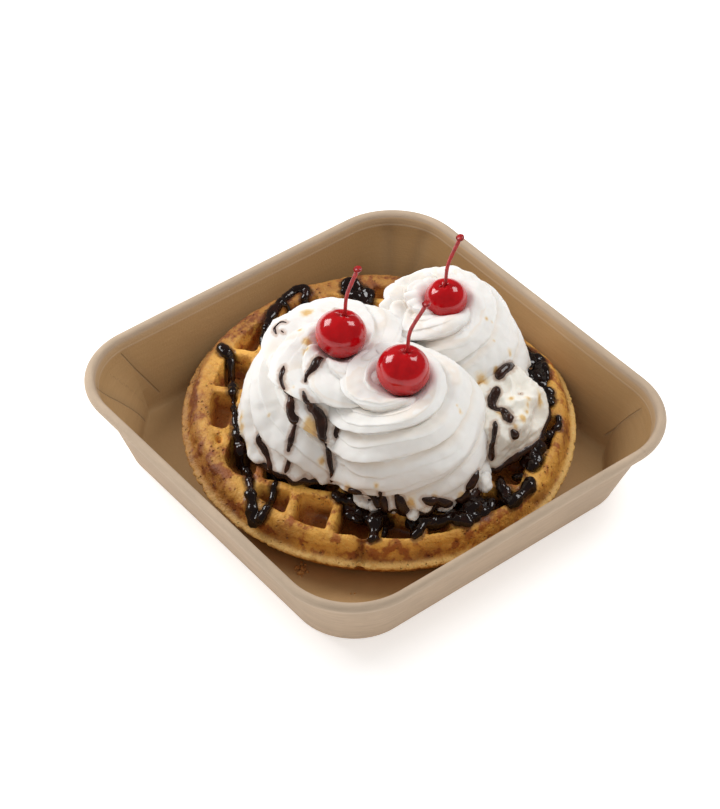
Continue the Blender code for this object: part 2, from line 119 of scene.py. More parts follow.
HOLLOW = 0.0085  # depth of the dip that a cherry sits in, and its radius as a share of the swirl's
HOLLOW_SHARE = 0.42
TIER_RISE = 0.55  # where the left swirl's smooth upper tier starts, as a share of its rise
TIER_STEP = 0.0052
LEFT_SIDE = math.radians(-129)  # where the piped ropes stand out most, seen from above
FRILLY_SIDE = math.radians(190)  # where the back swirl has frills

# A cherry's middle and radius, the way its dimple faces, and how far its stem reaches, in millimetres
Cherry = namedtuple("Cherry", "name centre radius axis stem seed")
CHERRIES = (
    Cherry("front", (28.1, -12.2, 49.9), 11.3, (-.07, .20, .98), (3.1, 7.4, 28.1), 1),
    Cherry("left", (-3.7, -19.7, 50.8), 10.9, (-.13, .28, .95), (1.3, 5.9, 26.7), 2),
    Cherry("back", (3.3, 32.6, 45.3), 9.4, (-.18, -.11, .98), (1.4, 6.3, 27.8), 3),
)

# Places on the waffle are given where the photograph shows them on its top face. What lies higher by 1 is
# this far on.
SIGHT = Vector((0.80, -0.68))
# Chocolate poured on the waffle: how far it may hang into a pocket, and its way with its radius
POURS = (
    (3.0, ((-71, -34, 1.6), (-69, -34.5, 2.6), (-63.6, -35.2, 2.2), (-52.6, -41.3, 1.5), (-47, -45, 2.0),
           (-41, -49.4, 1.5), (-34, -54, 1.2), (-28.4, -57.4, 2.0), (-19.6, -62.4, 2.6), (-9.9, -67.1, 2.3),
           (1.3, -72.4, 1.7), (10.1, -78.6, 2.1), (17.5, -83.6, 2.6), (20.5, -85.6, 2.4))),
    (3.0, ((9.0, -64.4, 1.5), (12, -68, 1.9), (15.5, -71.6, 1.6), (19, -78, 2.1), (21, -83, 2.3))),
    (5.0, ((-31, -51, 1.0), (-20, -57, 1.4), (-10, -59, 1.3), (-2.7, -60.5, 1.5), (3, -61.2, 1.9),
           (8.4, -59.0, 2.2), (9.5, -53.8, 1.7), (10, -50, 2.1), (13, -48, 2.3), (18, -48.5, 1.9),
           (22, -48, 1.6))),
    (4.0, ((-57, -19.6, 1.5), (-62.2, -16.1, 1.9), (-66.7, -11.5, 2.5), (-71.2, -5.8, 2.3),
           (-74.3, 0.7, 1.9), (-76.7, 7.1, 1.5), (-77.5, 13.5, 1.9), (-75, 17.9, 1.6), (-71, 14, 1.7),
           (-67, 12, 1.6))),
    (4.0, ((-75, 4.4, 1.2), (-69.7, 4.5, 1.1), (-64.5, 3.9, 1.3))),
    (4.0, ((-66.7, 31.7, 2.2), (-66.3, 36.6, 2.6), (-61.9, 38.9, 2.4), (-56.4, 38.6, 2.6),
           (-50.7, 36.3, 2.0))),
    (4.0, ((-65, 30.4, 1.8), (-59.6, 32.4, 2.2), (-54.7, 34.3, 2.4), (-49.0, 34.3, 1.9), (-43.0, 33.5, 1.5))),
    (2.0, ((44.7, -40.5, 1.8), (48.5, -42.8, 2.2), (51.5, -45.0, 2.9), (55.0, -47.9, 2.5),
           (58.8, -51.5, 3.0), (60.0, -52.4, 2.4))),
    (2.0, ((52.5, -38.7, 1.8), (58.1, -45.9, 1.3))),
    (1.5, ((59.0, -33.0, 1.3), (61.5, -34.0, 1.2), (64.2, -34.7, 1.2), (67.6, -37.5, 1.5))),
    (1.5, ((66.5, -23.5, 2.0), (66.5, -29.7, 1.7), (67.8, -36.1, 1.9), (67.9, -38.9, 2.1))),
    (5.0, ((34.0, -49.0, 2.2), (40.0, -48.6, 2.4), (46.0, -46.0, 2.6), (52.0, -42.6, 2.6),
           (57.0, -39.0, 1.8))),
    (4.0, ((60.5, -35.5, 1.8), (64.0, -30.5, 2.2), (66.5, -26.0, 2.4), (69.5, -20.0, 2.6),
           (71.0, -13.0, 2.8), (71.5, -6.0, 2.8), (71.0, 1.0, 2.4))),
    (3.0, ((54.1, 56.1, 1.9), (58.4, 52.8, 1.7), (60.0, 47.2, 1.6), (59.3, 41.5, 2.1), (57.5, 37.3, 2.4),
           (56.5, 33.0, 2.2))),
    (3.0, ((68.2, 17.0, 1.5), (70.0, 19.3, 1.8), (72.3, 21.3, 2.0))),
    (2.0, ((66.4, 12.8, 1.6), (69.1, 9.7, 2.4), (73.7, 8.2, 2.7), (78.3, 5.9, 2.6), (80.2, 7.0, 2.3),
           (79.5, 11.0, 2.6), (78.2, 15.6, 2.3), (77.0, 19.6, 2.2), (73.5, 21.0, 1.4))),
)
# Heaps of chocolate lumps: how far they may hang, how many small lumps lie on them, and their large lumps
HEAPS = (
    (4.0, 12, ((36.1, -50.4, 2.2), (43.0, -50.7, 2.6), (46.8, -49.6, 2.2), (45.1, -46.1, 2.4),
               (39.9, -47.8, 2.2))),
    (2.5, 14, ((70.5, -19.2, 2.0), (74.0, -18.0, 2.4), (75.3, -15.0, 2.6), (76.0, -11.0, 2.6),
               (76.2, -6.1, 2.8), (75.5, -1.6, 2.4), (72.6, -10.0, 2.8), (72.6, -4.5, 2.6),
               (71.4, -14.4, 2.6), (73, 1, 2.0))),
    (3.0, 16, ((6.5, 68.8, 2.0), (10.5, 70.0, 2.6), (15.3, 70.0, 3.0), (19.0, 72.0, 2.2), (24.1, 71.4, 2.6),
               (29.3, 68.8, 2.8), (33.6, 66.8, 2.6), (35.4, 62.2, 3.0), (30.5, 64.4, 3.0),
               (23.2, 66.8, 3.2), (20.0, 65.6, 2.8), (38.2, 56.4, 2.6), (34.0, 57.4, 2.2),
               (40.6, 58.2, 3.0), (42.4, 60.5, 2.6), (46.6, 57.8, 2.6), (45.4, 55.0, 2.4),
               (46.6, 51.4, 2.4), (42.4, 54.0, 2.6), (24.8, 62.0, 2.6), (29.0, 61.2, 2.8))),
    (5.0, 12, ((58.0, 34.5, 2.6), (62.0, 36.0, 2.6), (66.5, 34.3, 2.8), (69.9, 29.8, 2.6),
               (72.0, 25.4, 2.4), (69.0, 24.6, 2.0), (65.8, 29.7, 2.6), (62.2, 31.6, 2.4))),
    (4.0, 10, ((-60, 36, 2.2), (-55, 36.5, 2.4), (-64, 34, 2.0))),
)
# Drizzle on the cream: swirl, and its way as turns about the middle, shares of its rise and radii
DRIPS = (
    (LEFT, ((-105, .31, 1.0), (-102, .24, 1.6), (-96, .20, 1.1), (-94, .15, 1.5), (-87, .12, 1.7),
            (-81, .09, 1.2), (-75, .05, 1.6), (-68, .02, 1.4))),
    (LEFT, ((-102, .68, .8), (-96, .65, 1.3), (-92, .62, 1.2), (-85, .59, .75), (-78, .55, 1.2),
            (-72, .48, 2.6), (-67, .43, 2.4), (-69, .37, 1.0), (-67, .30, 1.5), (-66, .25, 1.0),
            (-66, .15, 1.1), (-65, .05, 1.0))),
    (LEFT, ((-75, .93, .6), (-78, .87, 1.6), (-75, .80, 2.0), (-75, .72, 1.2), (-72, .67, .7))),
    (LEFT, ((-70, .63, 1.0), (-63, .57, 1.4), (-56, .52, 2.4), (-49, .47, 2.9), (-45, .38, 1.8),
            (-42, .33, 1.9), (-39, .27, 1.6), (-36, .18, 1.2), (-33, .10, 1.2), (-32, .03, 1.5))),
    (LEFT, ((-35, .44, 1.2), (-36, .38, 1.1), (-38, .30, 1.0))),
    (LEFT, ((-144, .65, .6), (-152, .62, .8), (-159, .64, .6), (-160, .68, .5))),
    (LEFT, ((-150, .66, 1.0), (-147, .69, .7))),
    (LEFT, ((147, .72, .6), (144, .76, .8))),
    (LEFT, ((-120, .01, 1.6), (-105, .02, 2.0), (-90, .015, 2.2), (-75, .02, 1.8), (-60, .015, 2.2),
            (-45, .02, 2.0), (-32, .02, 2.0))),
    (FRONT, ((-86, .05, 1.4), (-78, .12, 1.6), (-72, .12, 1.8), (-66, .09, 1.6), (-60, .04, 2.2))),
    (FRONT, ((-57, .20, 1.3), (-59, .14, 1.5), (-57, .07, 1.9), (-55, .02, 2.2))),
    (FRONT, ((-49, .16, 1.2), (-46, .12, 2.2), (-44, .07, 2.6), (-42, .02, 2.2))),
    (FRONT, ((-31, .15, 1.2), (-26, .13, 2.0), (-19, .10, 2.4), (-13, .06, 2.0), (-10, .02, 1.8))),
    (FRONT, ((-5, .04, 2.0), (0, .02, 2.6), (7, .02, 2.6), (14, .02, 2.4), (22, .02, 2.2))),
    (FRONT, ((1, .02, 1.8), (3, .07, 2.2), (6, .12, 3.0), (11, .16, 2.6), (15, .19, .9))),
    (FRONT, ((-94, .02, 1.6), (-80, .02, 2.0), (-66, .015, 2.2), (-50, .02, 2.0), (-34, .015, 2.0),
             (-20, .02, 2.2), (-8, .015, 2.0))),
    (LUMP, ((12, .52, 1.6), (15, .67, 2.6), (27, .78, 2.5), (39, .85, 1.7))),
    (LUMP, ((39, .93, 1.6), (69, .97, 2.3), (111, .97, 2.5), (150, .95, 2.2), (192, .93, 1.5),
            (219, .87, 2.2), (225, .77, 2.8), (222, .70, 2.4))),
    (LUMP, ((-136, .62, 1.2), (-132, .53, 1.9), (-129, .43, 1.3))),
    (LUMP, ((-165, .77, 1.1), (-162, .68, 1.3), (-162, .55, 1.1), (-162, .35, 1.4), (-160, .20, 1.6))),
    (LUMP, ((-63, .87, .7), (-60, .84, .6))),
    (LUMP, ((-178, .03, 2.0), (-160, .03, 2.2), (-140, .02, 2.0), (-118, .03, 2.2), (-95, .03, 2.4),
            (-70, .04, 2.2), (-45, .05, 2.4), (-20, .04, 2.2), (5, .05, 2.0))),
)
# Caramel on the cream: swirl, turn, share of its rise, reach
CARAMEL = (
    (LEFT, -57, .47, 3.0), (LEFT, -55, .42, 4.2), (LEFT, -53, .37, 3.4), (LEFT, -114, .18, 3.0),
    (LEFT, -110, .14, 3.2), (LEFT, 177, .72, 3.6), (LEFT, -129, .88, 3.4), (LEFT, -110, .86, 3.0),
    (LEFT, -81, .47, 2.6), (LEFT, -42, .20, 3.0), (LEFT, -153, .80, 2.6), (LEFT, -78, .62, 2.2),
    (LEFT, -90, .36, 2.0), (LEFT, -100, .06, 3.0), (BACK, 21, .78, 2.0), (BACK, 23, .72, 1.8),
    (BACK, 21, .42, 2.6), (BACK, 12, .58, 1.8), (BACK, 0, .38, 2.8), (BACK, -14, .34, 3.4),
    (FRONT, 21, .63, 2.4), (FRONT, 23, .68, 2.0), (FRONT, -87, .06, 4.0), (FRONT, -81, .12, 3.0),
    (FRONT, -60, .24, 2.4), (FRONT, -38, .12, 3.4), (FRONT, -22, .15, 2.8), (FRONT, -3, .08, 3.0),
    (FRONT, -3, .28, 1.8), (LUMP, -81, .77, 2.8), (LUMP, -90, .73, 2.6), (LUMP, -100, .68, 2.6),
    (LUMP, -114, .67, 3.0), (LUMP, 72, .72, 4.0), (LUMP, -93, .94, 2.6), (LUMP, -153, .87, 3.4),
    (LUMP, 30, .60, 4.0), (LUMP, -129, .62, 2.6), (LUMP, -60, .45, 4.0),
)
# Folds of cream squeezed out at the foot of the front swirl and of the ice cream: place, and reach each way
CRUMBLED = (
    ((41.0, -43.5, 2.6), (5.0, 3.4, 3.0)), ((47.0, -40.5, 2.4), (4.0, 3.0, 2.6)),
    ((58.6, -30.0, 2.2), (5.4, 3.4, 2.8)), ((65.4, -19.0, 2.0), (3.4, 2.6, 2.2)),
    ((67.0, 2.0, 3.4), (4.4, 3.4, 4.6)), ((52.0, -36.5, 2.0), (3.0, 2.2, 2.4)),
)


class TraySizes(bpy.types.PropertyGroup):
    waviness: FloatProperty(
        name="Waviness", description="How far the board's walls bow in and out",
        default=0.0004, unit="LENGTH")


class WaffleSizes(bpy.types.PropertyGroup):
    pitch_u: FloatProperty(
        name="Pitch across", description="Distance between the ribs one way", default=0.0185, unit="LENGTH")
    pitch_v: FloatProperty(
        name="Pitch along", description="Distance between the ribs the other way",
        default=0.0240, unit="LENGTH")
    rib: FloatProperty(name="Rib", description="Width of a rib at its top", default=0.0036, unit="LENGTH")
    depth: FloatProperty(
        name="Pocket depth", description="Depth of the pockets", default=0.0105, unit="LENGTH")
    draft: FloatProperty(
        name="Draft", description="How much a pocket narrows on each side", default=0.0019, unit="LENGTH")
    grain: FloatProperty(
        name="Remesh size", description="Size of the faces of the baked skin", default=0.00102, unit="LENGTH")


class SundaeColours(bpy.types.PropertyGroup):
    board: FloatVectorProperty(
        name="Board", description="Kraft board of the tray", default=(0.475, 0.350, 0.240), subtype="COLOR")
    crust: FloatVectorProperty(
        name="Crust", description="Golden ribs and rim of the waffle",
        default=(0.88, 0.425, 0.070), subtype="COLOR")
    # The dark crust also serves as the painted shade of the pocket floors.
    crust_dark: FloatVectorProperty(
        name="Dark crust", description="Browned patches and pocket floors", default=(0.19, 0.050, 0.010),
        subtype="COLOR")
    crumb: FloatVectorProperty(
        name="Crumb", description="Pale crumb at the moulding line",
        default=(0.80, 0.50, 0.16), subtype="COLOR")
    cream: FloatVectorProperty(
        name="Cream", description="Whipped cream", default=(0.90, 0.875, 0.835), subtype="COLOR")
    ice_cream: FloatVectorProperty(
        name="Ice cream", description="Vanilla ice cream", default=(0.93, 0.88, 0.785), subtype="COLOR")
    caramel: FloatVectorProperty(
        name="Caramel", description="Thin caramel sauce", default=(0.72, 0.43, 0.115), subtype="COLOR")
    chocolate: FloatVectorProperty(
        name="Chocolate", description="Chocolate sauce", default=(0.0095, 0.0034, 0.0022), subtype="COLOR")
    thin_chocolate: FloatVectorProperty(
        name="Thin chocolate", description="Chocolate sauce where it lies thin on cream",
        default=(0.026, 0.0095, 0.0052), subtype="COLOR")
    cherry: FloatVectorProperty(
        name="Cherry", description="Candied cherries", default=(0.50, 0.003, 0.006), subtype="COLOR")


class StageSettings(bpy.types.PropertyGroup):
    key: FloatProperty(
        name="Key light", description="Power of the window at the left", default=3.1, unit="POWER")
    fill: FloatProperty(
        name="Fill light", description="Power of the window behind", default=1.9, unit="POWER")
    sky: FloatProperty(name="Room light", description="Strength of the white room", default=0.57)
    mirrored: FloatProperty(
        name="Mirrored room", description="Strength of the room between the windows, as gloss mirrors it",
        default=0.13)


# Modelling


def deselect():
    if bpy.context.mode != "OBJECT":
        bpy.ops.object.mode_set(mode="OBJECT")
    bpy.ops.object.select_all(action="DESELECT")


def choose(piece):
    deselect()
    piece.select_set(True)
    bpy.context.view_layer.objects.active = piece


def points_of(piece):
    points = np.empty(len(piece.data.vertices) * 3)
    piece.data.vertices.foreach_get("co", points)
    return points.reshape(-1, 3)


def set_points(piece, points):
    piece.data.vertices.foreach_set("co", np.asarray(points, dtype=np.float64).ravel())
    piece.data.update()


def close_up(piece, distance=0.00002):
    """Welds the seam and the poles, and turns the faces out."""
    choose(piece)
    bpy.ops.object.mode_set(mode="EDIT")
    bpy.ops.mesh.select_all(action="SELECT")
    bpy.ops.mesh.remove_doubles(threshold=distance)
    bpy.ops.mesh.normals_make_consistent(inside=False)
    bpy.ops.object.mode_set(mode="OBJECT")


def wrapped_sheet(name, columns, rows, place):
    """A grid bent round into a closed skin: place(column, row) gives each point in metres."""
    deselect()
    bpy.ops.mesh.primitive_grid_add(x_subdivisions=columns, y_subdivisions=rows, size=1.0)
    piece = bpy.context.object
    piece.name = name
    flat = points_of(piece)
    set_points(piece, [place(round((x + 0.5) * columns), round((y + 0.5) * rows)) for x, y, _ in flat])
    close_up(piece)
    return piece


def apply(piece, kind, **settings):
    """Adds a modifier with these settings and applies it."""
    choose(piece)
    modifier = piece.modifiers.new(kind.title(), kind)
    for key, value in settings.items():
        setattr(modifier, key, value)
    bpy.ops.object.modifier_apply(modifier=modifier.name)


def joined(name, pieces):
    deselect()
    for piece in pieces:
        piece.select_set(True)
    bpy.context.view_layer.objects.active = pieces[0]
    bpy.ops.object.join()
    piece = bpy.context.object
    piece.name = name
    return piece


def to_row_frame(piece):
    """Carries a piece modelled on the waffle's top face to its place, in its mesh."""
    piece.data.transform(TOP)
    piece.data.update()


def finish_piece(piece, material, *nodes, slot=None, sharp=None):
    choose(piece)
    if sharp is None:
        bpy.ops.object.shade_smooth()
    else:
        bpy.ops.object.shade_smooth_by_angle(angle=math.radians(sharp))
    piece.data.materials.clear()
    piece.data.materials.append(material)
    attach(piece, "root")
    if nodes:
        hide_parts(*nodes)


def write_attribute(piece, name, values):
    """A number at each point of a piece that its material reads."""
    attribute = piece.data.attributes.new(name, "FLOAT", "POINT")
    attribute.data.foreach_set("value", np.asarray(values, dtype=np.float32))


def lumps(place, grain, seed=0.0, octaves=1):
    """Smooth noise of about -1 to 1, with lumps grain metres across."""
    total, share = 0.0, 1.0
    for octave in range(octaves):
        spot = Vector(place) * (2 ** octave / grain) + Vector((seed, octave * 7.0, 0.0))
        total += share * noise.noise(spot)
        share *= 0.5
    return total


def ramp(value, low, high):
    """0 below low, 1 above high and smooth between them."""
    share = min(max((value - low) / (high - low), 0.0), 1.0)
    return share * share * (3 - 2 * share)


def mean(values, at, reach, zero=0.0):
    """The mean of the values up to reach places away."""
    near = values[max(0, at - reach):at + reach + 1]
    return sum(near, zero) / len(near)


def tinted(colour, red, green, blue):
    return colour[0] * red, colour[1] * green, colour[2] * blue


def swept(name, points, radii, resolution=6):
    """A round bar along points, given in metres, as a mesh with closed ends."""
    deselect()
    bpy.ops.curve.primitive_nurbs_path_add()
    bar = bpy.context.object
    bar.name = name
    curve = bar.data
    curve.splines.clear()
    curve.bevel_depth = 1.0
    curve.bevel_resolution = resolution
    curve.use_fill_caps = True
    spline = curve.splines.new("POLY")
    spline.points.add(len(points) - 1)
    for knot, point, radius in zip(spline.points, points, radii):
        knot.co = (*point, 1.0)
        knot.radius = radius
    bpy.ops.object.convert(target="MESH")
    bar = bpy.context.object
    close_up(bar)
    return bar


def along(knots, step, places=2):
    """Points a step apart on a smooth line through knots of any number of values, the first being places."""
    knots = [np.array(knot, dtype=float) for knot in knots]
    ends = [2 * knots[0] - knots[1]] + knots + [2 * knots[-1] - knots[-2]]
    line = []
    for before, a, b, after in zip(ends, ends[1:], ends[2:], ends[3:]):
        count = max(2, math.ceil(np.linalg.norm(b[:places] - a[:places]) / step))
        for t in np.arange(count) / count:
            line.append(0.5 * (2 * a + (b - before) * t + (2 * before - 5 * a + 4 * b - after) * t ** 2
                               + (3 * a - before - 3 * b + after) * t ** 3))
    line.append(knots[-1])
    return line


# Finishes


class Value:
    """A node's output that Python's operators work on. Each operator adds a Math node."""

    def __init__(self, finish, socket):
        self.finish = finish
        self.socket = socket

    def math(self, operation, *values, clamp=False):
        settings = {"operation": operation, "use_clamp": clamp}
        return self.finish.node("ShaderNodeMath", settings, dict(enumerate(values)))

    def __add__(self, other):
        return self.math("ADD", self, other)

    def __sub__(self, other):
        return self.math("SUBTRACT", self, other)

    def __rsub__(self, other):
        return self.math("SUBTRACT", other, self)

    def __mul__(self, other):
        return self.math("MULTIPLY", self, other)

    def __abs__(self):
        return self.math("ABSOLUTE", self)

    __radd__ = __add__
    __rmul__ = __mul__

    def clamped(self):
        return self.math("ADD", self, 0.0, clamp=True)

    def span(self, low, high):
        """0 where this is at low, 1 where it is at high, and smooth between them."""
        settings = {"interpolation_type": "SMOOTHSTEP"}
        sockets = {"Value": self, "From Min": low, "From Max": high}
        return self.finish.node("ShaderNodeMapRange", settings, sockets)


class Finish:
    """A material and the nodes that it is worked out with."""

    def __init__(self, name, **sockets):
        self.material = bpy.data.materials.new(name)
        self.material.use_nodes = True
        self.tree = self.material.node_tree
        self.shader = self.tree.nodes["Principled BSDF"]
        self.object_place = self.node("ShaderNodeTexCoord", {}, {}, "Object")
        for socket, value in sockets.items():
            self.shader.inputs[socket.replace("_", " ")].default_value = value

    def node(self, kind, settings, sockets, output=0):
        made = self.tree.nodes.new(kind)
        for key, value in settings.items():
            setattr(made, key, value)
        for key, value in sockets.items():
            self.feed(made.inputs[key], value)
        return Value(self, made.outputs[output])

    def feed(self, socket, value):
        if isinstance(value, Value):
            self.tree.links.new(value.socket, socket)
        elif socket.type == "RGBA" and len(value) == 3:
            socket.default_value = (*value, 1.0)
        else:
            socket.default_value = value

    def set(self, **sockets):
        """Feeds what changes over the surface to the shader."""
        for name, value in sockets.items():
            self.feed(self.shader.inputs[name.replace("_", " ")], value)

    def place(self, stretch=(1.0, 1.0, 1.0)):
        return self.node("ShaderNodeMapping", {}, {"Vector": self.object_place, "Scale": stretch})

    def noise(self, grain, detail=2.0, stretch=(1.0, 1.0, 1.0), roughness=0.5):
        """Noise of 0 to 1 with lumps grain metres across."""
        sockets = {
            "Vector": self.place(stretch), "Scale": 1 / grain, "Detail": detail, "Roughness": roughness}
        return self.node("ShaderNodeTexNoise", {}, sockets)

    def cells(self, grain):
        """Distance to the nearest of points grain metres apart, as a share of that."""
        sockets = {"Vector": self.place(), "Scale": 1 / grain, "Randomness": 1.0}
        return self.node("ShaderNodeTexVoronoi", {"feature": "F1"}, sockets)

    def attribute(self, name):
        return self.node("ShaderNodeAttribute", {"attribute_name": name}, {}, "Fac")

    def mix(self, share, a, b):
        """From colour a where share is 0 to colour b where it is 1."""
        return self.node("ShaderNodeMix", {"data_type": "RGBA"}, {0: share, 6: a, 7: b}, 2)

    def bump(self, height, depth):
        """Relief that stands up to depth metres high where height is 1."""
        made = self.node("ShaderNodeBump", {}, {"Strength": 1.0, "Distance": depth, "Height": height})
        self.set(Normal=made)


def board_finish(colours):
    finish = Finish("kraft_board", Roughness=0.72, Specular_IOR_Level=0.35)
    base = Vector(colours.board)
    fibres = finish.noise(0.0016, 4.0, (0.12, 0.12, 1.6), 0.65)
    blotches = finish.noise(0.030, 3.0)
    specks = finish.noise(0.0011, 2.0)
    colour = finish.mix(blotches.span(0.30, 0.70), tuple(base * 0.94), tuple(base * 1.05))
    colour = finish.mix((1 - fibres.span(0.30, 0.62)) * 0.42, colour, tuple(base * 0.74))
    colour = finish.mix(fibres.span(0.52, 0.78) * 0.50, colour, tuple(base * 1.22))
    colour = finish.mix((1 - specks.span(0.22, 0.36)) * 0.30, colour, tuple(base * 0.55))
    inside = finish.attribute("inside")
    # Painted bounce light: inside, the board is tinted warmer and more saturated, as light bounced between
    # its walls.
    colour = finish.mix(inside.clamped() * 0.62, colour, tinted(base, 1.03, 0.765, 0.29))
    # Painted shade: where the inside mark rises above 1, towards the back corner, the board is darker.
    colour = finish.mix((inside - 1.0).clamped() * 0.55, colour, tinted(base, 0.50, 0.36, 0.17))
    # Painted sheen: the rolled rim is paler and more neutral, as where it catches the light.
    colour = finish.mix(finish.attribute("rim") * 0.18, colour, (0.72, 0.60, 0.47))
    fold = finish.attribute("fold")
    ends = 1 - finish.attribute("fold_end").span(0.0, 0.0015)
    folds = (1 - abs(fold).span(0.00014, 0.00050)) * ends
    # Painted shadow: one side of a fold line is darkened, as the flap's shadow.
    under = (1 - abs(fold).span(0.0002, 0.0050)) * fold.span(-0.0001, 0.0001) * ends
    # Painted shade in the soft dents of the walls.
    dents = 1 - finish.attribute("dent").span(0.0005, 0.0060)
    seams = 1 - abs(finish.attribute("seam")).span(0.00010, 0.00040)
    score = 1 - abs(finish.attribute("score")).span(0.00020, 0.00060)
    # Painted shadow beside the flaps and painted shade in the soft dents.
    colour = finish.mix(under * 0.16 + dents * 0.14, colour, tuple(base * 0.42))
    colour = finish.mix(folds * 0.34, colour, tuple(base * 0.26))
    colour = finish.mix(seams * 0.50, colour, tuple(base * 0.35))
    colour = finish.mix(score * 0.16, colour, (0.78, 0.67, 0.54))
    finish.set(Base_Color=colour, Roughness=fibres * 0.16 + 0.62)
    relief = fibres * 0.50 + specks * 0.30 - folds * 0.9 - seams * 1.2 + score * 0.3
    finish.bump(relief, 0.00022)
    return finish.material


def crust_finish(colours):
    finish = Finish("waffle_crust", Specular_IOR_Level=0.45, Subsurface_Weight=0.05, Subsurface_Scale=0.0012)
    depth = finish.attribute("depth")
    crumb = finish.attribute("crumb")
    burnt = finish.attribute("burnt")
    stain = finish.attribute("stain")
    large = finish.noise(0.017, 3.0, roughness=0.6)
    small = finish.noise(0.0048, 4.0, roughness=0.62)
    fine = finish.noise(0.0011, 3.0)
    pores = finish.cells(0.0026)
    pinholes = finish.cells(0.0011)
    golden = Vector(colours.crust)
    dark = Vector(colours.crust_dark)
    colour = finish.mix(large.span(0.36, 0.60), tinted(golden, 1.05, 1.15, 1.3), tuple(golden * 0.78))
    colour = finish.mix(small.span(0.48, 0.66) * 0.75, colour, tinted(golden, 0.56, 0.38, 0.34))
    colour = finish.mix((1 - small.span(0.28, 0.44)) * 0.50, colour, tinted(golden, 1.10, 1.35, 2.2))
    flecks = (finish.noise(0.0085, 2.0) * 0.55 + small * 0.45).span(0.51, 0.59)
    colour = finish.mix(flecks * 0.80, colour, tinted(golden, 0.42, 0.22, 0.20))
    # Browning and painted shade: real browning in patches, on the brown side and at the crack, with painted
    # shade on the back rim and deeper down.
    browning_and_shade_share = (large * 0.5 + small * 0.5).span(0.50, 0.64)
    browning_and_shade_share = (browning_and_shade_share * burnt * 0.5 + burnt * 0.68).clamped()
    colour = finish.mix(browning_and_shade_share, colour, tinted(dark, 1.05, 1.1, 1.1))
    # Painted shade in the pockets, partly a darker bake: the deeper a point lies, the darker the crust.
    colour = finish.mix(depth * 0.66, colour, tinted(dark, 1.7, 1.5, 1.2))
    holes = (1 - pores.span(0.06, 0.24)) * small.span(0.40, 0.60)
    colour = finish.mix(holes * 0.50, colour, tuple(dark))
    colour = finish.mix((crumb * (fine.span(0.20, 0.50) * 0.5 + 0.6)).clamped(), colour, tuple(colours.crumb))
    wet = finish.attribute("wet")
    colour = finish.mix(wet * 0.75, colour, (0.105, 0.024, 0.006))
    soaked = (stain + small * 0.8 - 0.4).span(0.40, 0.90)
    colour = finish.mix(soaked * 0.75, colour, (0.075, 0.016, 0.006))
    shine = (wet + soaked * 0.7).clamped()
    finish.set(Base_Color=colour, Roughness=(0.46 + fine * 0.22 - shine * 0.38).clamped())
    relief = small * 0.9 + fine * 0.40 - holes * 1.2 - (1 - pinholes.span(0.05, 0.35)) * 0.16
    finish.bump(relief * (1 - shine * 0.7), 0.00100)
    return finish.material


def cream_finish(colours, name, base):
    finish = Finish(
        name, Subsurface_Weight=0.35, Subsurface_Scale=0.0035, Subsurface_Radius=(1.0, 0.88, 0.78),
        Specular_IOR_Level=0.40)
    soft = finish.noise(0.0100, 3.0)
    fine = finish.noise(0.0016, 3.0)
    bubbles = finish.cells(0.0020)
    colour = finish.mix(soft.span(0.35, 0.70), tuple(base), tinted(base, 0.975, 0.975, 0.975))
    # Painted shade: the hollows between the ropes are darker and warmer.
    hollow = finish.attribute("hollow")
    colour = finish.mix(hollow * 0.45, colour, tinted(base, 0.93, 0.83, 0.72))
    blush = finish.attribute("blush")
    colour = finish.mix((blush * 0.42).clamped(), colour, (0.90, 0.46, 0.46))
    edge = finish.noise(0.0021, 3.0) * 0.9 - 0.45
    spread = finish.attribute("caramel") + edge * 0.8 + (soft - 0.5) * 0.9
    colour = finish.mix(spread.span(-0.10, 0.45) * 0.50, colour, (0.88, 0.70, 0.42))
    caramel = spread.span(0.18, 0.75)
    colour = finish.mix(caramel * 0.80, colour, tuple(colours.caramel))
    smear = (finish.attribute("smear") + edge).span(0.25, 0.80)
    colour = finish.mix(smear * 0.50, colour, (0.42, 0.20, 0.085))
    finish.set(Base_Color=colour, Roughness=0.50 - caramel * 0.22 + fine * 0.10)
    relief = soft * 0.45 + fine * 0.18 - (1 - bubbles.span(0.04, 0.16)) * 0.25
    finish.bump(relief, 0.00030)
    return finish.material


def chocolate_finish(name, colour, roughness):
    finish = Finish(name, Specular_IOR_Level=0.48)
    uneven = finish.noise(0.006, 3.0)
    fine = finish.noise(0.0016, 2.0)
    tone = finish.mix(uneven.span(0.48, 0.75), colour, tinted(colour, 2.6, 1.9, 1.5))
    finish.set(Base_Color=tone, Roughness=roughness + fine * 0.14)
    finish.bump(uneven * 0.6 + fine * 0.4, 0.00028)
    return finish.material


def cherry_finish(colours):
    finish = Finish(
        "cherry_red", Coat_Weight=0.18, Coat_Roughness=0.04, Subsurface_Weight=0.10, Subsurface_Scale=0.0030,
        Subsurface_Radius=(1.0, 0.15, 0.10), Specular_IOR_Level=0.50)
    base = Vector(colours.cherry)
    mottled = finish.noise(0.0045, 3.0)
    fine = finish.noise(0.0012, 2.0)
    colour = finish.mix(mottled.span(0.35, 0.68), tuple(base), tinted(base, 0.82, 0.6, 0.8))
    # Painted shade: the dimple round the stem is darker red.
    colour = finish.mix(finish.attribute("pit") * 0.55, colour, (base.x * 0.45, 0.002, 0.004))
    finish.set(Base_Color=colour, Roughness=0.09 + fine * 0.07)
    finish.bump(mottled * 0.5 + fine * 0.2, 0.00012)
    return finish.material


def stem_finish():
    finish = Finish("cherry_stem", Coat_Weight=0.35, Coat_Roughness=0.20, Specular_IOR_Level=0.5)
    grain = finish.noise(0.0010, 3.0, (1.0, 1.0, 0.25))
    colour = finish.mix(grain.span(0.35, 0.65), (0.50, 0.012, 0.012), (0.30, 0.006, 0.008))
    finish.set(Base_Color=colour, Roughness=grain * 0.20 + 0.34)
    finish.bump(grain, 0.00018)
    return finish.material


# The tray

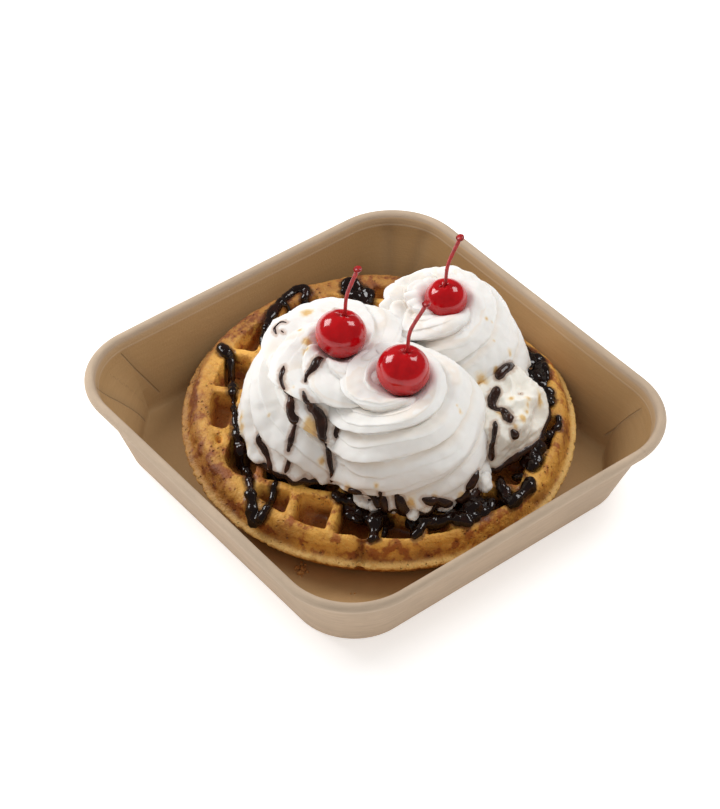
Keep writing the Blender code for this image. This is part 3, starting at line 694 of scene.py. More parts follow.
CORNER_SHARES = tuple(i / 36 for i in range(36))
SIDE_SHARES = tuple(i / 30 for i in range(30))
COLUMNS = tuple(
    (quarter, corner, share)
    for quarter in range(4)
    for corner, shares in ((True, CORNER_SHARES), (False, SIDE_SHARES))
    for share in shares
)


def tray_point(column, half, corner, chamfer):
    """A place on a level ring of the tray. chamfer flattens its corners, from 0 to 1."""
    quarter, in_corner, share = COLUMNS[column % len(COLUMNS)]
    inset = half - corner

    def corner_place(which, turn):
        middle = math.radians(90 * which + 45)
        angle = math.radians(90 * (which + turn))
        x = math.copysign(inset, math.cos(middle)) + corner * math.cos(angle)
        y = math.copysign(inset, math.sin(middle)) + corner * math.sin(angle)
        return Vector((x, y))

    if not in_corner:
        return corner_place(quarter, 1.0).lerp(corner_place(quarter + 1, 0.0), share)
    flat = corner_place(quarter, 0.0).lerp(corner_place(quarter, 1.0), share)
    return corner_place(quarter, share).lerp(flat, chamfer)


def tray_rings():
    """Rings of the tray's skin from under its base, over the rolled rim, to the floor: half width, corner
    radius, height, how flat the corners are, and 1 on the inside."""
    bead_middle = RIM_HALF - BEAD_WIDTH / 2
    bead_level = RIM_TOP - BEAD_HEIGHT / 2
    inset = RIM_HALF - RIM_CORNER
    wall_top = RIM_HALF - BEAD_WIDTH * 0.94
    inner_top = wall_top - BOARD
    under = bead_level - BEAD_HEIGHT / 2
    rings = [(0.0001, 0.00009, 0.0, 0.0, 0)]
    for inward, height in ((0.0012, 0.0), (0.0003, 0.0004), (0.0, 0.0014)):
        rings.append((BASE_HALF - inward, BASE_CORNER - inward, height, 0.0, 0))
    for share in np.linspace(0.06, 1.0, 22):
        half = BASE_HALF + (wall_top - BASE_HALF) * share
        corner = BASE_CORNER + (wall_top - inset - BASE_CORNER) * share
        rings.append((half, corner, 0.0014 + (under - 0.0014) * share, 0.0, 0))
    for degrees in range(-75, 166, 12):
        angle = math.radians(degrees)
        half = bead_middle + BEAD_WIDTH / 2 * math.cos(angle)
        rings.append((half, half - inset, bead_level + BEAD_HEIGHT / 2 * math.sin(angle), 0.0, 0))
    lip = bead_level - BEAD_HEIGHT * 0.12
    for share in np.linspace(0.0, 1.0, 34):
        half = inner_top + (FLOOR_HALF + 0.0020 - inner_top) * share
        corner = inner_top - inset + (FLOOR_CORNER + 0.0020 - inner_top + inset) * share
        rings.append((half, corner, lip + (BOARD + 0.0022 - lip) * share, ramp(share, 0.15, 1.0), 1))
    for out, rise in ((0.0014, 0.0010), (0.0006, 0.0003), (0.0, 0.0), (-0.0010, 0.0)):
        rings.append((FLOOR_HALF + out, FLOOR_CORNER + out, BOARD + rise, 1.0, 1))
    for share in np.linspace(0.95, 0.05, 16):
        rings.append((FLOOR_HALF * share, FLOOR_CORNER * share, BOARD, 1.0, 1))
    rings.append((0.0001, 0.00001, BOARD, 1.0, 1))
    return rings


# Lines that the board's flaps draw inside the corners: quarter, and two ends as turn through the corner
# and height
FOLDS = (
    (2, (0.70, 0.0360), (0.28, 0.0030)), (2, (0.08, 0.0320), (-0.14, 0.0077)),
    (0, (0.82, 0.0300), (1.06, 0.0075)), (3, (0.30, 0.0355), (0.70, 0.0030)),
)
# Soft dents of the walls, given in the same way. The board is also painted darker in them, as painted shade
DENTS = (
    (1, (0.62, 0.0330), (0.58, 0.0060)), (1, (0.20, 0.0340), (0.30, 0.0120)),
    (0, (0.30, 0.0330), (0.20, 0.0060)),
)
# Where the board is painted darkest inside, as painted shade in the corner that the food shades
SHADED_BACK_CORNER = Vector((-0.078, 0.078))
# Seams across the rolled rim: quarter and turn through the corner
SEAMS = ((2, 0.98), (1, 0.02), (0, 0.93), (0, 0.05), (3, 0.9))


def corner_turn(column):
    """The nearest quarter and the turn through its corner, on past its ends along the sides."""
    quarter, in_corner, share = COLUMNS[column % len(COLUMNS)]
    if in_corner:
        return quarter, share
    side = 2 * (RIM_HALF - RIM_CORNER) / (RIM_CORNER * math.pi / 2)
    if share < 0.5:
        return quarter, 1.0 + share * side
    return (quarter + 1) % 4, -(1.0 - share) * side


def off_line(lines, quarter, turn, height):
    """Metres aside of the nearest of these lines on the walls, with a sign, and metres past its ends."""
    nearest = (0.01, 0.01)
    arc = 0.045
    for which, (turn_a, high), (turn_b, low) in lines:
        if which != quarter:
            continue
        a, b = Vector((turn_a * arc, high)), Vector((turn_b * arc, low))
        way = (b - a).normalized()
        place = Vector((turn * arc, height)) - a
        past = max(-place.dot(way), place.dot(way) - (b - a).length, 0.0)
        aside = place.x * way.y - place.y * way.x
        if abs(aside) + past < abs(nearest[0]) + nearest[1]:
            nearest = (aside, past)
    return nearest


class SUNDAE_OT_tray(bpy.types.Operator):
    """Models the board tray with its rolled rim, folded corners and seams"""
    bl_idname = "sundae.tray"
    bl_label = "Tray"

    def execute(self, context):
        sizes = context.scene.tray_sizes
        rings = tray_rings()
        bead_level = RIM_TOP - BEAD_HEIGHT / 2
        marks = {}

        def place(column, row):
            half, corner, height, chamfer, inside = rings[row]
            flat = tray_point(column, half, corner, chamfer)
            quarter, turn = corner_turn(column)
            wall = ramp(height, 0.004, 0.014) * (1 - ramp(height, 0.030, 0.036))
            out = flat.normalized() if flat.length > 0.01 else Vector((0.0, 0.0))
            if inside and wall > 0:
                bent = math.hypot(*off_line(DENTS, quarter, turn, height))
                flat = flat + out * wall * 0.0007 * math.exp(-(bent / 0.004) ** 2)
            bow = sizes.waviness * wall * lumps((flat.x, flat.y, height), 0.045, 5.0)
            flat = flat + out * bow
            height += 0.0003 * ramp(height, 0.030, 0.036) * (lumps((flat.x, flat.y, 0.0), 0.05, 9.0) - 0.5)
            floor = inside and half < FLOOR_HALF - 0.002
            if floor:
                height += 0.0003 * (lumps((flat.x, flat.y, 0.0), 0.05, 4.0) + 0.4)
            off_seam = min((abs(turn - at) for which, at in SEAMS if which == quarter), default=1.0)
            seam = off_seam * RIM_CORNER * 1.5  # a quarter turn's arc, about
            on_bead = height > bead_level - 0.004
            on_wall = inside and not floor
            # Marks for the finish: 1 inside for painted bounce light, rising above 1 towards the back corner
            # for painted shade; the rolled rim for a painted paler sheen; fold lines, whose one side gets a
            # painted flap shadow; soft dents, painted darker as shade; and seams.
            marks[(column % len(COLUMNS), row)] = (
                inside * (1 + 0.80 * ramp((flat - SHADED_BACK_CORNER).length, 0.080, 0.030)),
                ramp(height, RIM_TOP - 0.0065, RIM_TOP - 0.0035),
                *(off_line(FOLDS, quarter, turn, height) if on_wall else (0.01, 0.01)),
                math.hypot(*off_line(DENTS, quarter, turn, height)) if on_wall else 0.01,
                seam if on_bead else 0.01)
            return (flat.x, flat.y, max(height, 0.0))

        tray = wrapped_sheet("tray_board", len(COLUMNS), len(rings) - 1, place)
        points = points_of(tray)
        tree = KDTree(len(marks))
        values = []
        for n, ((column, row), mark) in enumerate(marks.items()):
            tree.insert(place(column, row), n)
            values.append(mark)
        tree.balance()
        found = np.array([values[tree.find(point)[1]] for point in points])
        for n, name in enumerate(("inside", "rim", "fold", "fold_end", "dent", "seam")):
            write_attribute(tray, name, found[:, n])
        write_attribute(tray, "score", np.where(found[:, 0] > 0, points[:, 2] - (RIM_TOP - 0.0054), 0.01))
        finish_piece(tray, board_finish(context.scene.sundae_colours), "tray", slot="kraft_board", sharp=32)
        return {"FINISHED"}


# The waffle


def waffle_reach(angle):
    """The outline one way, as a share of the radius: uneven, and pressed flat by the tray's walls."""
    uneven = 1 + 0.006 * math.sin(3 * angle + 0.8) + 0.004 * math.sin(5 * angle + 2.1)
    limits = [uneven * WAFFLE_RADIUS]
    for along_axis, centre in ((math.cos(angle), WAFFLE_CENTRE.x), (math.sin(angle), WAFFLE_CENTRE.y)):
        if abs(along_axis) > 0.1:
            limits.append((WALL_REACH - math.copysign(centre, along_axis * centre)) / abs(along_axis))
    return min(limits) / WAFFLE_RADIUS


# Half the section of the waffle in mm, from the middle of the top face down to the middle of the underside
WAFFLE_PROFILE = (
    (0, 0), (20, 0), (40, 0), (60, 0), (74, 0), (77.6, -.2), (80.0, -1.0), (81.6, -2.6), (82.6, -4.8),
    (83.2, -7.4), (83.8, -9.6), (85.0, -10.9), (87.0, -11.4), (87.0, -12.5), (85.2, -13.3), (83.0, -14.2),
    (82.0, -17.0), (80.6, -21.0), (78.4, -23.4), (75, -24.2), (50, -24.2), (25, -24.2), (0, -24.2),
)
NOTCH_TURN = math.radians(-45)  # where the rim has cracked in the oven
BROWN_TURN = math.radians(215)  # where the side is brownest
# Where the rim is darker at the back: partly real browning, partly painted shade of the cream and the tray
# wall.
SHADED_BACK_TURN = math.radians(140)
FLANGE_LEVEL = -0.0117  # the moulding line


def grid_cells(sizes):
    """Middles of the pockets, in the grid's own directions."""
    middle = Matrix.Rotation(-GRID_TURN, 2) @ GRID_MIDDLE
    many = math.ceil(WAFFLE_RADIUS / sizes.pitch_u)
    for i in range(-many, many + 1):
        for j in range(-many, many + 1):
            u = (i + 0.5) * sizes.pitch_u + GRID_START[0]
            v = (j + 0.5) * sizes.pitch_v + GRID_START[1]
            near_u = max(abs(u - middle.x) - (sizes.pitch_u - sizes.rib) / 2, 0.0)
            near_v = max(abs(v - middle.y) - (sizes.pitch_v - sizes.rib) / 2, 0.0)
            if math.hypot(near_u, near_v) < GRID_RADIUS - 0.0035:
                yield u, v


def pocket_cutters(sizes):
    """One tapered block with rounded edges, copied to each cell, and all of them clipped by the round rim."""
    deselect()
    bpy.ops.mesh.primitive_cube_add(size=1.0)
    block = bpy.context.object
    rise = 0.003
    points = points_of(block)
    taper = np.where(points[:, 2] < 0, 2 * sizes.draft, -2 * sizes.draft * rise / sizes.depth)
    points[:, 0] *= sizes.pitch_u - sizes.rib - taper
    points[:, 1] *= sizes.pitch_v - sizes.rib - taper
    points[:, 2] = np.where(points[:, 2] < 0, -sizes.depth, rise)
    set_points(block, points)
    apply(block, "BEVEL", width=0.0017, segments=4, limit_method="NONE")
    turn = Matrix.Rotation(GRID_TURN, 4, "Z")
    blocks = []
    for n, (u, v) in enumerate(grid_cells(sizes)):
        copy = block.copy()
        copy.data = block.data.copy()
        bpy.context.scene.collection.objects.link(copy)
        jitter = Vector((u, v, 0.0006 * noise.noise(Vector((n * 1.7, 0.3, 0.0)))))
        copy.data.transform(turn @ Matrix.Translation(jitter))
        blocks.append(copy)
    bpy.data.objects.remove(block)
    cutter = joined("pocket_blocks", blocks)
    deselect()
    bpy.ops.mesh.primitive_cone_add(
        vertices=120, radius1=GRID_RADIUS - sizes.draft * 1.3, radius2=GRID_RADIUS + 0.0008,
        depth=sizes.depth * 1.3, location=(*GRID_MIDDLE, -sizes.depth * 1.3 / 2 + 0.0035))
    rim = bpy.context.object
    apply(cutter, "BOOLEAN", operation="INTERSECT", object=rim, solver="EXACT")
    bpy.data.objects.remove(rim)
    return cutter


class SUNDAE_OT_waffle(bpy.types.Operator):
    """Models the baked waffle with its pockets, rim, moulding line and rough skin"""
    bl_idname = "sundae.waffle"
    bl_label = "Waffle"

    def execute(self, context):
        sizes = context.scene.waffle_sizes
        columns = 120

        def place(column, row):
            radius, height = WAFFLE_PROFILE[row]
            angle = 2 * math.pi * column / columns
            reach = waffle_reach(angle) * radius * MM
            return (reach * math.cos(angle), reach * math.sin(angle), height * MM)

        waffle = wrapped_sheet("waffle_skin", columns, len(WAFFLE_PROFILE) - 1, place)
        cutter = pocket_cutters(sizes)
        apply(waffle, "BOOLEAN", operation="DIFFERENCE", object=cutter, solver="EXACT")
        bpy.data.objects.remove(cutter)
        apply(waffle, "REMESH", mode="VOXEL", voxel_size=sizes.grain)
        apply(waffle, "SMOOTH", factor=0.5, iterations=2)
        points = points_of(waffle)
        normals = np.empty(len(points) * 3)
        waffle.data.vertices.foreach_get("normal", normals)
        normals = normals.reshape(-1, 3)
        moved = []
        depth, crumb, burnt, wet = [], [], [], []
        pools = pool_places()
        for (x, y, z), normal in zip(points, normals):
            radius = math.hypot(x, y)
            angle = math.atan2(y, x)
            side = ramp(radius, 0.0790, 0.0830)
            left = ramp(math.cos(angle - BROWN_TURN), 0.30, 0.90)
            rough = 0.00062 * lumps((x, y, z), 0.011, 2.0, 2) + 0.00026 * lumps((x, y, z), 0.0035)
            rough += side * (0.0005 + 0.0008 * left) * lumps((x, y, z * 1.6), 0.0045, 6.0, 2)
            line = math.exp(-((z - FLANGE_LEVEL) / 0.0013) ** 2) * side
            rough += line * (0.0004 + 0.0012 * lumps((x, y, z), 0.0030, 3.0, 2))
            off_crack = (angle - NOTCH_TURN) * radius + 0.0014 * lumps((x, y, z), 0.0035)
            crack = ramp(radius, 0.0765, 0.0800) * math.exp(-(off_crack / 0.0017) ** 2)
            rough -= 0.0028 * crack
            rough *= 1 - ramp(-z, 0.0215, 0.0235)
            moved.append(Vector((x, y, z)) + Vector(normal) * (rough if not side else min(rough, 0.0002)))
            off_rim = math.hypot(x - GRID_MIDDLE.x, y - GRID_MIDDLE.y)
            in_grid = 1 - ramp(off_rim, GRID_RADIUS - 0.001, GRID_RADIUS + 0.003)
            # How deep a point lies in a pocket, for the crust's painted shade there, partly a darker bake.
            depth.append(in_grid * ramp(-z, 0.0025, 0.0098))
            crumb.append((1 - 0.8 * left) * min(1.0, line * 1.6 + 0.55 * side * ramp(-z, 0.0120, 0.0145)))
            patch = ramp(lumps((x, y, z), 0.020, 8.0), 0.05, 0.45)
            # Darker colour on the back rim and deeper down is painted shade of the cream and the tray wall,
            # partly real browning; the rest is real browning of the side and the crack.
            back = ramp(math.cos(angle - SHADED_BACK_TURN), 0.30, 0.95) * ramp(radius, 0.066, 0.076)
            shade = 0.10 + 0.8 * patch * side + 1.2 * left * side + 1.2 * back
            shade += 0.4 * left * ramp(radius, 0.070, 0.077)
            burnt.append(min(1.0, shade + 0.3 * ramp(-z, 0.003, 0.009) + 0.9 * crack))
            pool = max((1 - math.hypot(x - px, y - py) / reach for px, py, reach in pools), default=0.0)
            floor = ramp(-z, sizes.depth - 0.0045, sizes.depth - 0.0015) * in_grid
            wet.append(floor * ramp(pool, -0.10, 0.35))
        set_points(waffle, moved)
        for name, values in (("depth", depth), ("crumb", crumb), ("burnt", burnt), ("wet", wet)):
            write_attribute(waffle, name, values)
        to_row_frame(waffle)
        finish_piece(waffle, crust_finish(context.scene.sundae_colours), "waffle", slot="waffle_crust")
        return {"FINISHED"}


def pool_places():
    """Where sauce has run into the pockets: place and reach in metres."""
    spots = (
        (-20, -52, 12), (2, -58, 10), (44, -50, 12), (36, -57, 9), (62, -36, 13), (72, -22, 10), (74, 0, 12),
        (60, 50, 14), (68, 36, 14), (30, 68, 16), (-70, 2, 12), (-58, 30, 12), (76, 14, 12),
    )
    return [(x * MM, y * MM, reach * MM) for x, y, reach in spots]


# Cream


def swirl_outline(swirl, rise):
    angle = rise * math.pi / 2
    radius = swirl.radius * max(math.cos(angle), 0.0) ** swirl.fullness
    height = swirl.height * math.sin(angle)
    radius *= 1 - TUCK * math.exp(-height / 0.0025)
    hollow = max(0.0, 1 - (radius / (HOLLOW_SHARE * swirl.radius)) ** 2) ** 2
    return radius, height - HOLLOW * hollow * (swirl is not LUMP)


def rope(swirl, angle, rise, spot):
    """How far the skin stands out where the rope is thick: a sharp lower lip and a long fall above it."""
    facing = math.cos(angle - LEFT_SIDE)
    wind = swirl.layers * rise + swirl.flutes * angle / (2 * math.pi) + swirl.turn + swirl.tilt * facing
    wind += 0.30 * lumps(spot, 0.8, swirl.seed) + 0.035 * lumps(spot, 0.11, swirl.seed + 6.0)
    share = wind % 1.0
    lip = ramp(share, 0.0, 0.09) * (1 - share ** 1.1 * 0.97)
    second = (wind * 2.4 + 0.5 * lumps(spot, 0.5, swirl.seed + 8.0)) % 1.0
    lip += 0.16 * (ramp(second, 0.0, 0.12) * (1 - second) - 0.3)
    soft = abs(math.sin(math.pi * wind)) ** 0.75
    streaks = noise.noise(Vector((spot[0] * 0.7, spot[1] * 0.7 + swirl.seed, wind * 3.5)))
    crisp = swirl.lip if swirl is LEFT else swirl.lip * (0.65 + 0.35 * facing)
    return crisp * lip * 1.25 + (1 - crisp) * soft - 0.6 + 0.14 * streaks


def swirl_point(swirl, angle, rise):
    """A place on a swirl's skin, on the waffle's top face."""
    radius, height = swirl_outline(swirl, rise)
    step = 0.01
    r0, h0 = swirl_outline(swirl, max(rise - step, 0.0))
    r1, h1 = swirl_outline(swirl, min(rise + step, 1.0))
    outward = Vector((h1 - h0, r0 - r1)).normalized()
    share = radius / swirl.radius
    spot = (share * math.cos(angle), share * math.sin(angle), height / swirl.radius)
    if swirl is LUMP:
        push = 0.0010 + 0.0060 * lumps(spot, 0.60, 14.0) - 0.0042 * abs(lumps(spot, 0.42, 9.0))
        push += 0.0006 * lumps(spot, 0.1, 3.0)
    else:
        fade = ramp(rise, 0.0, 0.07) * (1 - ramp(rise, 0.86, 1.0))
        if swirl is LEFT:
            strength = (1.0 + 0.5 * lumps(spot, 0.6, swirl.seed + 1.0)) * (1 - 0.80 * ramp(rise, 0.50, 0.62))
            tier = rise + 0.03 * lumps(spot, 0.3, 21.0)
            edge = TIER_RISE + 0.02
            push_up = TIER_STEP * ramp(tier, TIER_RISE, edge) * (1 - ramp(tier, edge, 0.82))
        else:
            strength = 0.76 + 0.30 * math.cos(angle - LEFT_SIDE) + 0.75 * lumps(spot, 0.55, swirl.seed + 1.0)
            strength = max(strength, 0.08)
            push_up = 0.0
        ridge = rope(swirl, angle, rise, spot)
        push = swirl.ridge * ridge * fade * strength + push_up
        height -= 0.0012 * max(ridge, 0.0) * fade * strength
        push += swirl.ruffle * lumps(spot, 0.16, swirl.seed + 2.0, 2) * fade
        push += 0.0014 * lumps(spot, 0.62, swirl.seed + 3.0)
        foot = 1 - ramp(rise, 0.03, 0.15)
        push += 0.0030 * foot * lumps(spot, 0.17, swirl.seed + 4.0, 2)
    if swirl is BACK:
        frilly = ramp(math.cos(angle - FRILLY_SIDE), 0.1, 0.8)
        frilly *= ramp(rise, 0.12, 0.35) * (1 - ramp(rise, 0.8, 0.95))
        waves = 13 * angle / (2 * math.pi) + 4 * rise + 0.5 * lumps(spot, 0.3, 5.0)
        push += 0.0032 * frilly * (abs(math.sin(math.pi * waves)) ** 0.8 - 0.6)
    radius += push * outward.x
    height += push * outward.y
    share = max(height, 0.0) / swirl.height
    place = Vector((radius * math.cos(angle), radius * math.sin(angle), height))
    if swirl is LUMP:
        place.y *= LUMP_SQUASH
    place += Vector((swirl.lean_x * share, swirl.lean_y * share, 0.0))
    if swirl is LUMP:
        place = Matrix.Rotation(LUMP_TURN, 3, "Z") @ place
    return place + Vector((swirl.x, swirl.y, FOOT_LIFT))


def swirl_piece(name, swirl, columns, rows):
    under = max(2, rows // 24)

    def place(column, row):
        angle = 2 * math.pi * (column % columns) / columns - math.pi
        if row <= under:
            foot = swirl_point(swirl, angle, 0.0)
            middle = Vector((swirl.x, swirl.y, 0.0))
            return middle.lerp(Vector((foot.x, foot.y, 0.0)), row / under)
        return swirl_point(swirl, angle, (row - under) / (rows - under))

    return wrapped_sheet(name, columns, rows, place)


def on_swirl(swirl, turn, rise):
    return swirl_point(swirl, math.radians(turn), rise)


def off_spot(away):
    """Distance from the middle of a smear that has run downwards."""
    return math.hypot(away.x, away.y, away.z * 0.6)


def stain_attributes(piece, swirl):
    """Where the cream is tinted: painted shade in the hollows between the ropes, the blush beside a cherry,
    and caramel.
    """
    points = points_of(piece)
    caramel_spots = [(on_swirl(s, turn, rise), reach * MM) for s, turn, rise, reach in CARAMEL]
    cherries = [(Vector(c.centre) * MM, c.radius * MM) for c in CHERRIES]
    caramel, blush, hollow = [], [], []
    for point in points:
        place = Vector(point)
        caramel.append(max(min(1.0, reach / 0.0042) * 1.15 - off_spot(place - spot) / reach
                           for spot, reach in caramel_spots))
        off = min((place - centre).length - radius for centre, radius in cherries)
        patchy = 0.35 + 0.65 * ramp(lumps(point, 0.006, 3.0), -0.2, 0.4)
        blush.append((1 - ramp(off, 0.0002, 0.0046)) * patchy)
        angle = math.atan2(place.y - swirl.y, place.x - swirl.x)
        rise = math.asin(min(max(place.z / swirl.height, 0.0), 1.0)) / (math.pi / 2)
        radius = swirl_outline(swirl, rise)[0] / swirl.radius
        spot = (radius * math.cos(angle), radius * math.sin(angle), place.z / swirl.radius)
        # How far a point lies in a hollow between ropes, where the finish paints shade.
        hollow.append(ramp(-rope(swirl, angle, rise, spot), 0.05, 0.55) * (swirl is not LUMP))
    write_attribute(piece, "caramel", caramel)
    write_attribute(piece, "blush", blush)
    write_attribute(piece, "hollow", hollow)


class SUNDAE_OT_cream(bpy.types.Operator):
    """Models the three piped swirls of whipped cream and the crumbled cream at the front one's foot"""
    bl_idname = "sundae.cream"
    bl_label = "Cream"

    def execute(self, context):
        colours = context.scene.sundae_colours
        material = cream_finish(colours, "whipped_cream", colours.cream)
        for name, swirl in (("front", FRONT), ("left", LEFT), ("back", BACK)):
            piece = swirl_piece(f"swirl_{name}", swirl, 300, 260)
            stain_attributes(piece, swirl)
            to_row_frame(piece)
            finish_piece(piece, material, f"cream_{name}", slot="whipped_cream")
        lumps_made = []
        for n, (place, reach) in enumerate(CRUMBLED):
            deselect()
            bpy.ops.mesh.primitive_ico_sphere_add(subdivisions=5, radius=1.0)
            lump = bpy.context.object
            turned = Matrix.Rotation(n * 1.3, 3, "Z")
            shaped = []
            for point in points_of(lump):
                swell = 1 + 0.42 * lumps(point, 1.2, n * 3.1) + 0.10 * lumps(point, 0.4, n * 1.7)
                stretched = Vector([share * size for share, size in zip(point, reach)])
                shaped.append((Vector(place) + turned @ stretched * swell) * MM)
            set_points(lump, shaped)
            lumps_made.append(lump)
        crumbled = joined("crumbled_cream", lumps_made)
        stain_attributes(crumbled, FRONT)
        to_row_frame(crumbled)
        finish_piece(crumbled, material, slot="whipped_cream")
        return {"FINISHED"}


class SUNDAE_OT_ice_cream(bpy.types.Operator):
    """Models the lumpy scoop of ice cream"""
    bl_idname = "sundae.ice_cream"
    bl_label = "Ice cream"

    def execute(self, context):
        colours = context.scene.sundae_colours
        piece = swirl_piece("scoop", LUMP, 200, 140)
        stain_attributes(piece, LUMP)
        to_row_frame(piece)
        material = cream_finish(colours, "ice_cream", colours.ice_cream)
        finish_piece(piece, material, "ice_cream", slot="ice_cream")
        return {"FINISHED"}


# Cherries


class SUNDAE_OT_cherries(bpy.types.Operator):
    """Models the three candied cherries with their stems"""
    bl_idname = "sundae.cherries"
    bl_label = "Cherries"

    def execute(self, context):
        red = cherry_finish(context.scene.sundae_colours)
        stem_red = stem_finish()
        for cherry in CHERRIES:
            ball = self.ball(cherry)
            finish_piece(ball, red, f"cherry_{cherry.name}", slot="cherry_red")
            stem = self.stem(cherry)
            finish_piece(stem, stem_red, slot="cherry_red")
        return {"FINISHED"}

    def ball(self, cherry):
        deselect()
        bpy.ops.mesh.primitive_uv_sphere_add(segments=96, ring_count=64, radius=1.0)
        ball = bpy.context.object
        ball.name = f"cherry_{cherry.name}_ball"
        upright = Vector((0, 0, 1)).rotation_difference(Vector(cherry.axis)).to_matrix()
        places, pit = [], []
        for point in points_of(ball):
            way = Vector(point)
            off_axis = math.hypot(way.x, way.y)
            dip = 2.4 * max(0.0, 1 - off_axis / 0.50) ** 2 * (way.z > 0)
            round_it = math.atan2(way.y, way.x)
            crease = 0.25 * max(0.0, 1 - off_axis / 0.6) * math.sin(5 * round_it + cherry.seed)
            swell = 1 + 0.020 * lumps(way, 1.3, cherry.seed * 5.0, 2)
            frill = 0.25 * lumps(way, 0.30, cherry.seed) * ramp(-way.z, 0.15, 0.6)
            place = way * (cherry.radius * swell + frill)
            place.z = place.z * 0.95 - dip - crease * (way.z > 0)
            places.append((upright @ place + Vector(cherry.centre)) * MM)
            # The deepest part of the dimple, which the finish darkens as painted shade.
            pit.append(max(0.0, 1 - off_axis / 0.22) * (way.z > 0))
        set_points(ball, places)
        write_attribute(ball, "pit", pit)
        to_row_frame(ball)
        return ball

    def stem(self, cherry):
        centre, axis = Vector(cherry.centre), Vector(cherry.axis).normalized()
        start = centre + axis * (cherry.radius * 0.95 - 2.4 - 0.8)
        reach = Vector(cherry.stem)
        level = Vector((reach.x, reach.y, 0.0))
        bows = ((0, 0, 0), (.15, .15, .05), (.5, .5, .28), (.93, .93, 0), (1.0, .985, 0))
        knots = [(*(start + reach * far - level * bow), share) for share, far, bow in bows]
        line = along(knots, 0.15)
        places, radii = [], []
        for x, y, z, share in line:
            knob = 0.95 * ramp(share, 0.91, 0.985)
            flare = 0.55 * (1 - ramp(share, 0.0, 0.07))
            bark = 0.07 * lumps((x * MM, y * MM, z * MM), 0.003, cherry.seed)
            radii.append((0.76 + 0.10 * share + knob + flare + bark) * MM)
            places.append(Vector((x, y, z)) * MM)
        stem = swept(f"cherry_{cherry.name}_stem", places, radii)
        points = points_of(stem)
        points[:, 2] += [0.00025 * lumps(point, 0.0016, cherry.seed * 2.0) for point in points]
        set_points(stem, points)
        to_row_frame(stem)
        return stem


# Chocolate


def skin_under(name):
    """Looks down the waffle's own axis on this piece: height(x, y) in metres on its top face."""
    tree = skin_of(name, TOP.inverted())

    def height(x, y):
        place = tree.ray_cast(Vector((x, y, 0.1)), Vector((0, 0, -1)))[0]
        return place.z if place else -0.020

    return height


def hung(line, hang, height):
    """How high a line of sauce lies: on the ribs, and no more than hang mm below them between them."""
    under = [height(x * MM, y * MM) for x, y, _ in line]
    reach = 8
    held = [max(under[max(0, i - reach):i + reach + 1]) - hang * MM for i in range(len(line))]
    level = [max(a, b) for a, b in zip(under, held)]
    return [mean(level, i, 2) for i in range(len(level))]


def pour(name, hang, way, height, seed):
    """A line of sauce that lies on the ribs and hangs a little between them."""
    line = along(way, 0.8)
    rise = [max(z / MM + radius * 0.5, -1.0) for (_, _, radius), z in zip(line, hung(line, hang, height))]
    line = [(x + SIGHT.x * up, y + SIGHT.y * up, radius) for (x, y, radius), up in zip(line, rise)]
    level = hung(line, hang, height)
    places, radii = [], []
    for i, ((x, y, radius), z) in enumerate(zip(line, level)):
        spot = (x * MM, y * MM, seed)
        swell = 1 + 0.50 * lumps(spot, 0.0055, seed) + 0.20 * lumps(spot, 0.0025, seed)
        tip = min(1.0, 0.60 + 0.20 * min(i, len(line) - 1 - i))
        thick = radius * MM * swell * tip * 1.14
        aside = 0.0009 * lumps(spot, 0.008, seed + 2.0)
        radii.append(thick)
        places.append((x * MM + aside, y * MM - aside, z + thick * 0.05))
    return swept(name, places, radii, resolution=3)


def heap(name, hang, count, large, height, chance):
    """Large lumps of sauce run together, with small ones strewn over them."""
    balls = []
    strewn = [(*chance.choice(large)[:2], chance.uniform(1.3, 2.3), 1.8) for _ in range(count)]
    base = max(height(x * MM, y * MM) for x, y, _ in large) - hang * MM
    slide = SIGHT * (base / MM + 2.2)
    for x, y, size, spread in [(x, y, size * 1.25, 0.0) for x, y, size in large] + strewn:
        x += chance.gauss(0, 1) * spread + slide.x
        y += chance.gauss(0, 1) * spread + slide.y
        z = max(height(x * MM, y * MM), base) + (size * 0.20 + (spread > 0) * chance.uniform(0.4, 1.4)) * MM
        deselect()
        bpy.ops.mesh.primitive_ico_sphere_add(subdivisions=2, radius=size * MM)
        ball = bpy.context.object
        wide = chance.uniform(0.9, 1.3)
        seed = chance.uniform(0, 50)
        shaped = []
        middle = np.array((x * MM, y * MM, z))
        for point in points_of(ball):
            swell = 1 + 0.35 * lumps(point, size * MM * 1.1, seed)
            shaped.append(point * (wide, 1.0, 0.8) * swell + middle)
        set_points(ball, shaped)
        balls.append(ball)
    return joined(name, balls)


def drip(name, swirl, way, skin, seed):
    """A flattened line of sauce on the cream, half sunk in its skin."""
    knots = [(*(TOP @ on_swirl(swirl, turn, rise)), radius) for turn, rise, radius in way]
    line = along(knots, 0.0006, 3)
    places, radii = [], []
    for i, (x, y, z, radius) in enumerate(line):
        place, outward, _, _ = skin.find_nearest(Vector((x, y, z)))
        thick = radius * MM * (1 + 0.28 * lumps((x, y, z), 0.0045, seed))
        thick *= min(1.0, 0.5 + 0.12 * min(i, len(line) - 1 - i))
        places.append(place - outward * thick * 0.22)
        radii.append(thick)
    smooth = [mean(places, i, 1, Vector()) for i in range(len(places))]
    return swept(name, smooth, radii, resolution=3)


def skin_of(name, back=Matrix()):
    """A piece's skin as a tree, carried by a matrix."""
    piece = bpy.data.objects[name]
    places = [back @ vert.co for vert in piece.data.vertices]
    return BVHTree.FromPolygons(places, [face.vertices[:] for face in piece.data.polygons])


def roughen(sauce):
    """Gives the run sauce the small hills that catch the light."""
    points = points_of(sauce)
    normals = np.empty(points.size)
    sauce.data.vertices.foreach_get("normal", normals)
    push = [0.00060 * lumps(point, 0.0040, 3.0) + 0.00012 * lumps(point, 0.0017, 8.0) for point in points]
    set_points(sauce, points + normals.reshape(-1, 3) * np.array(push)[:, None])


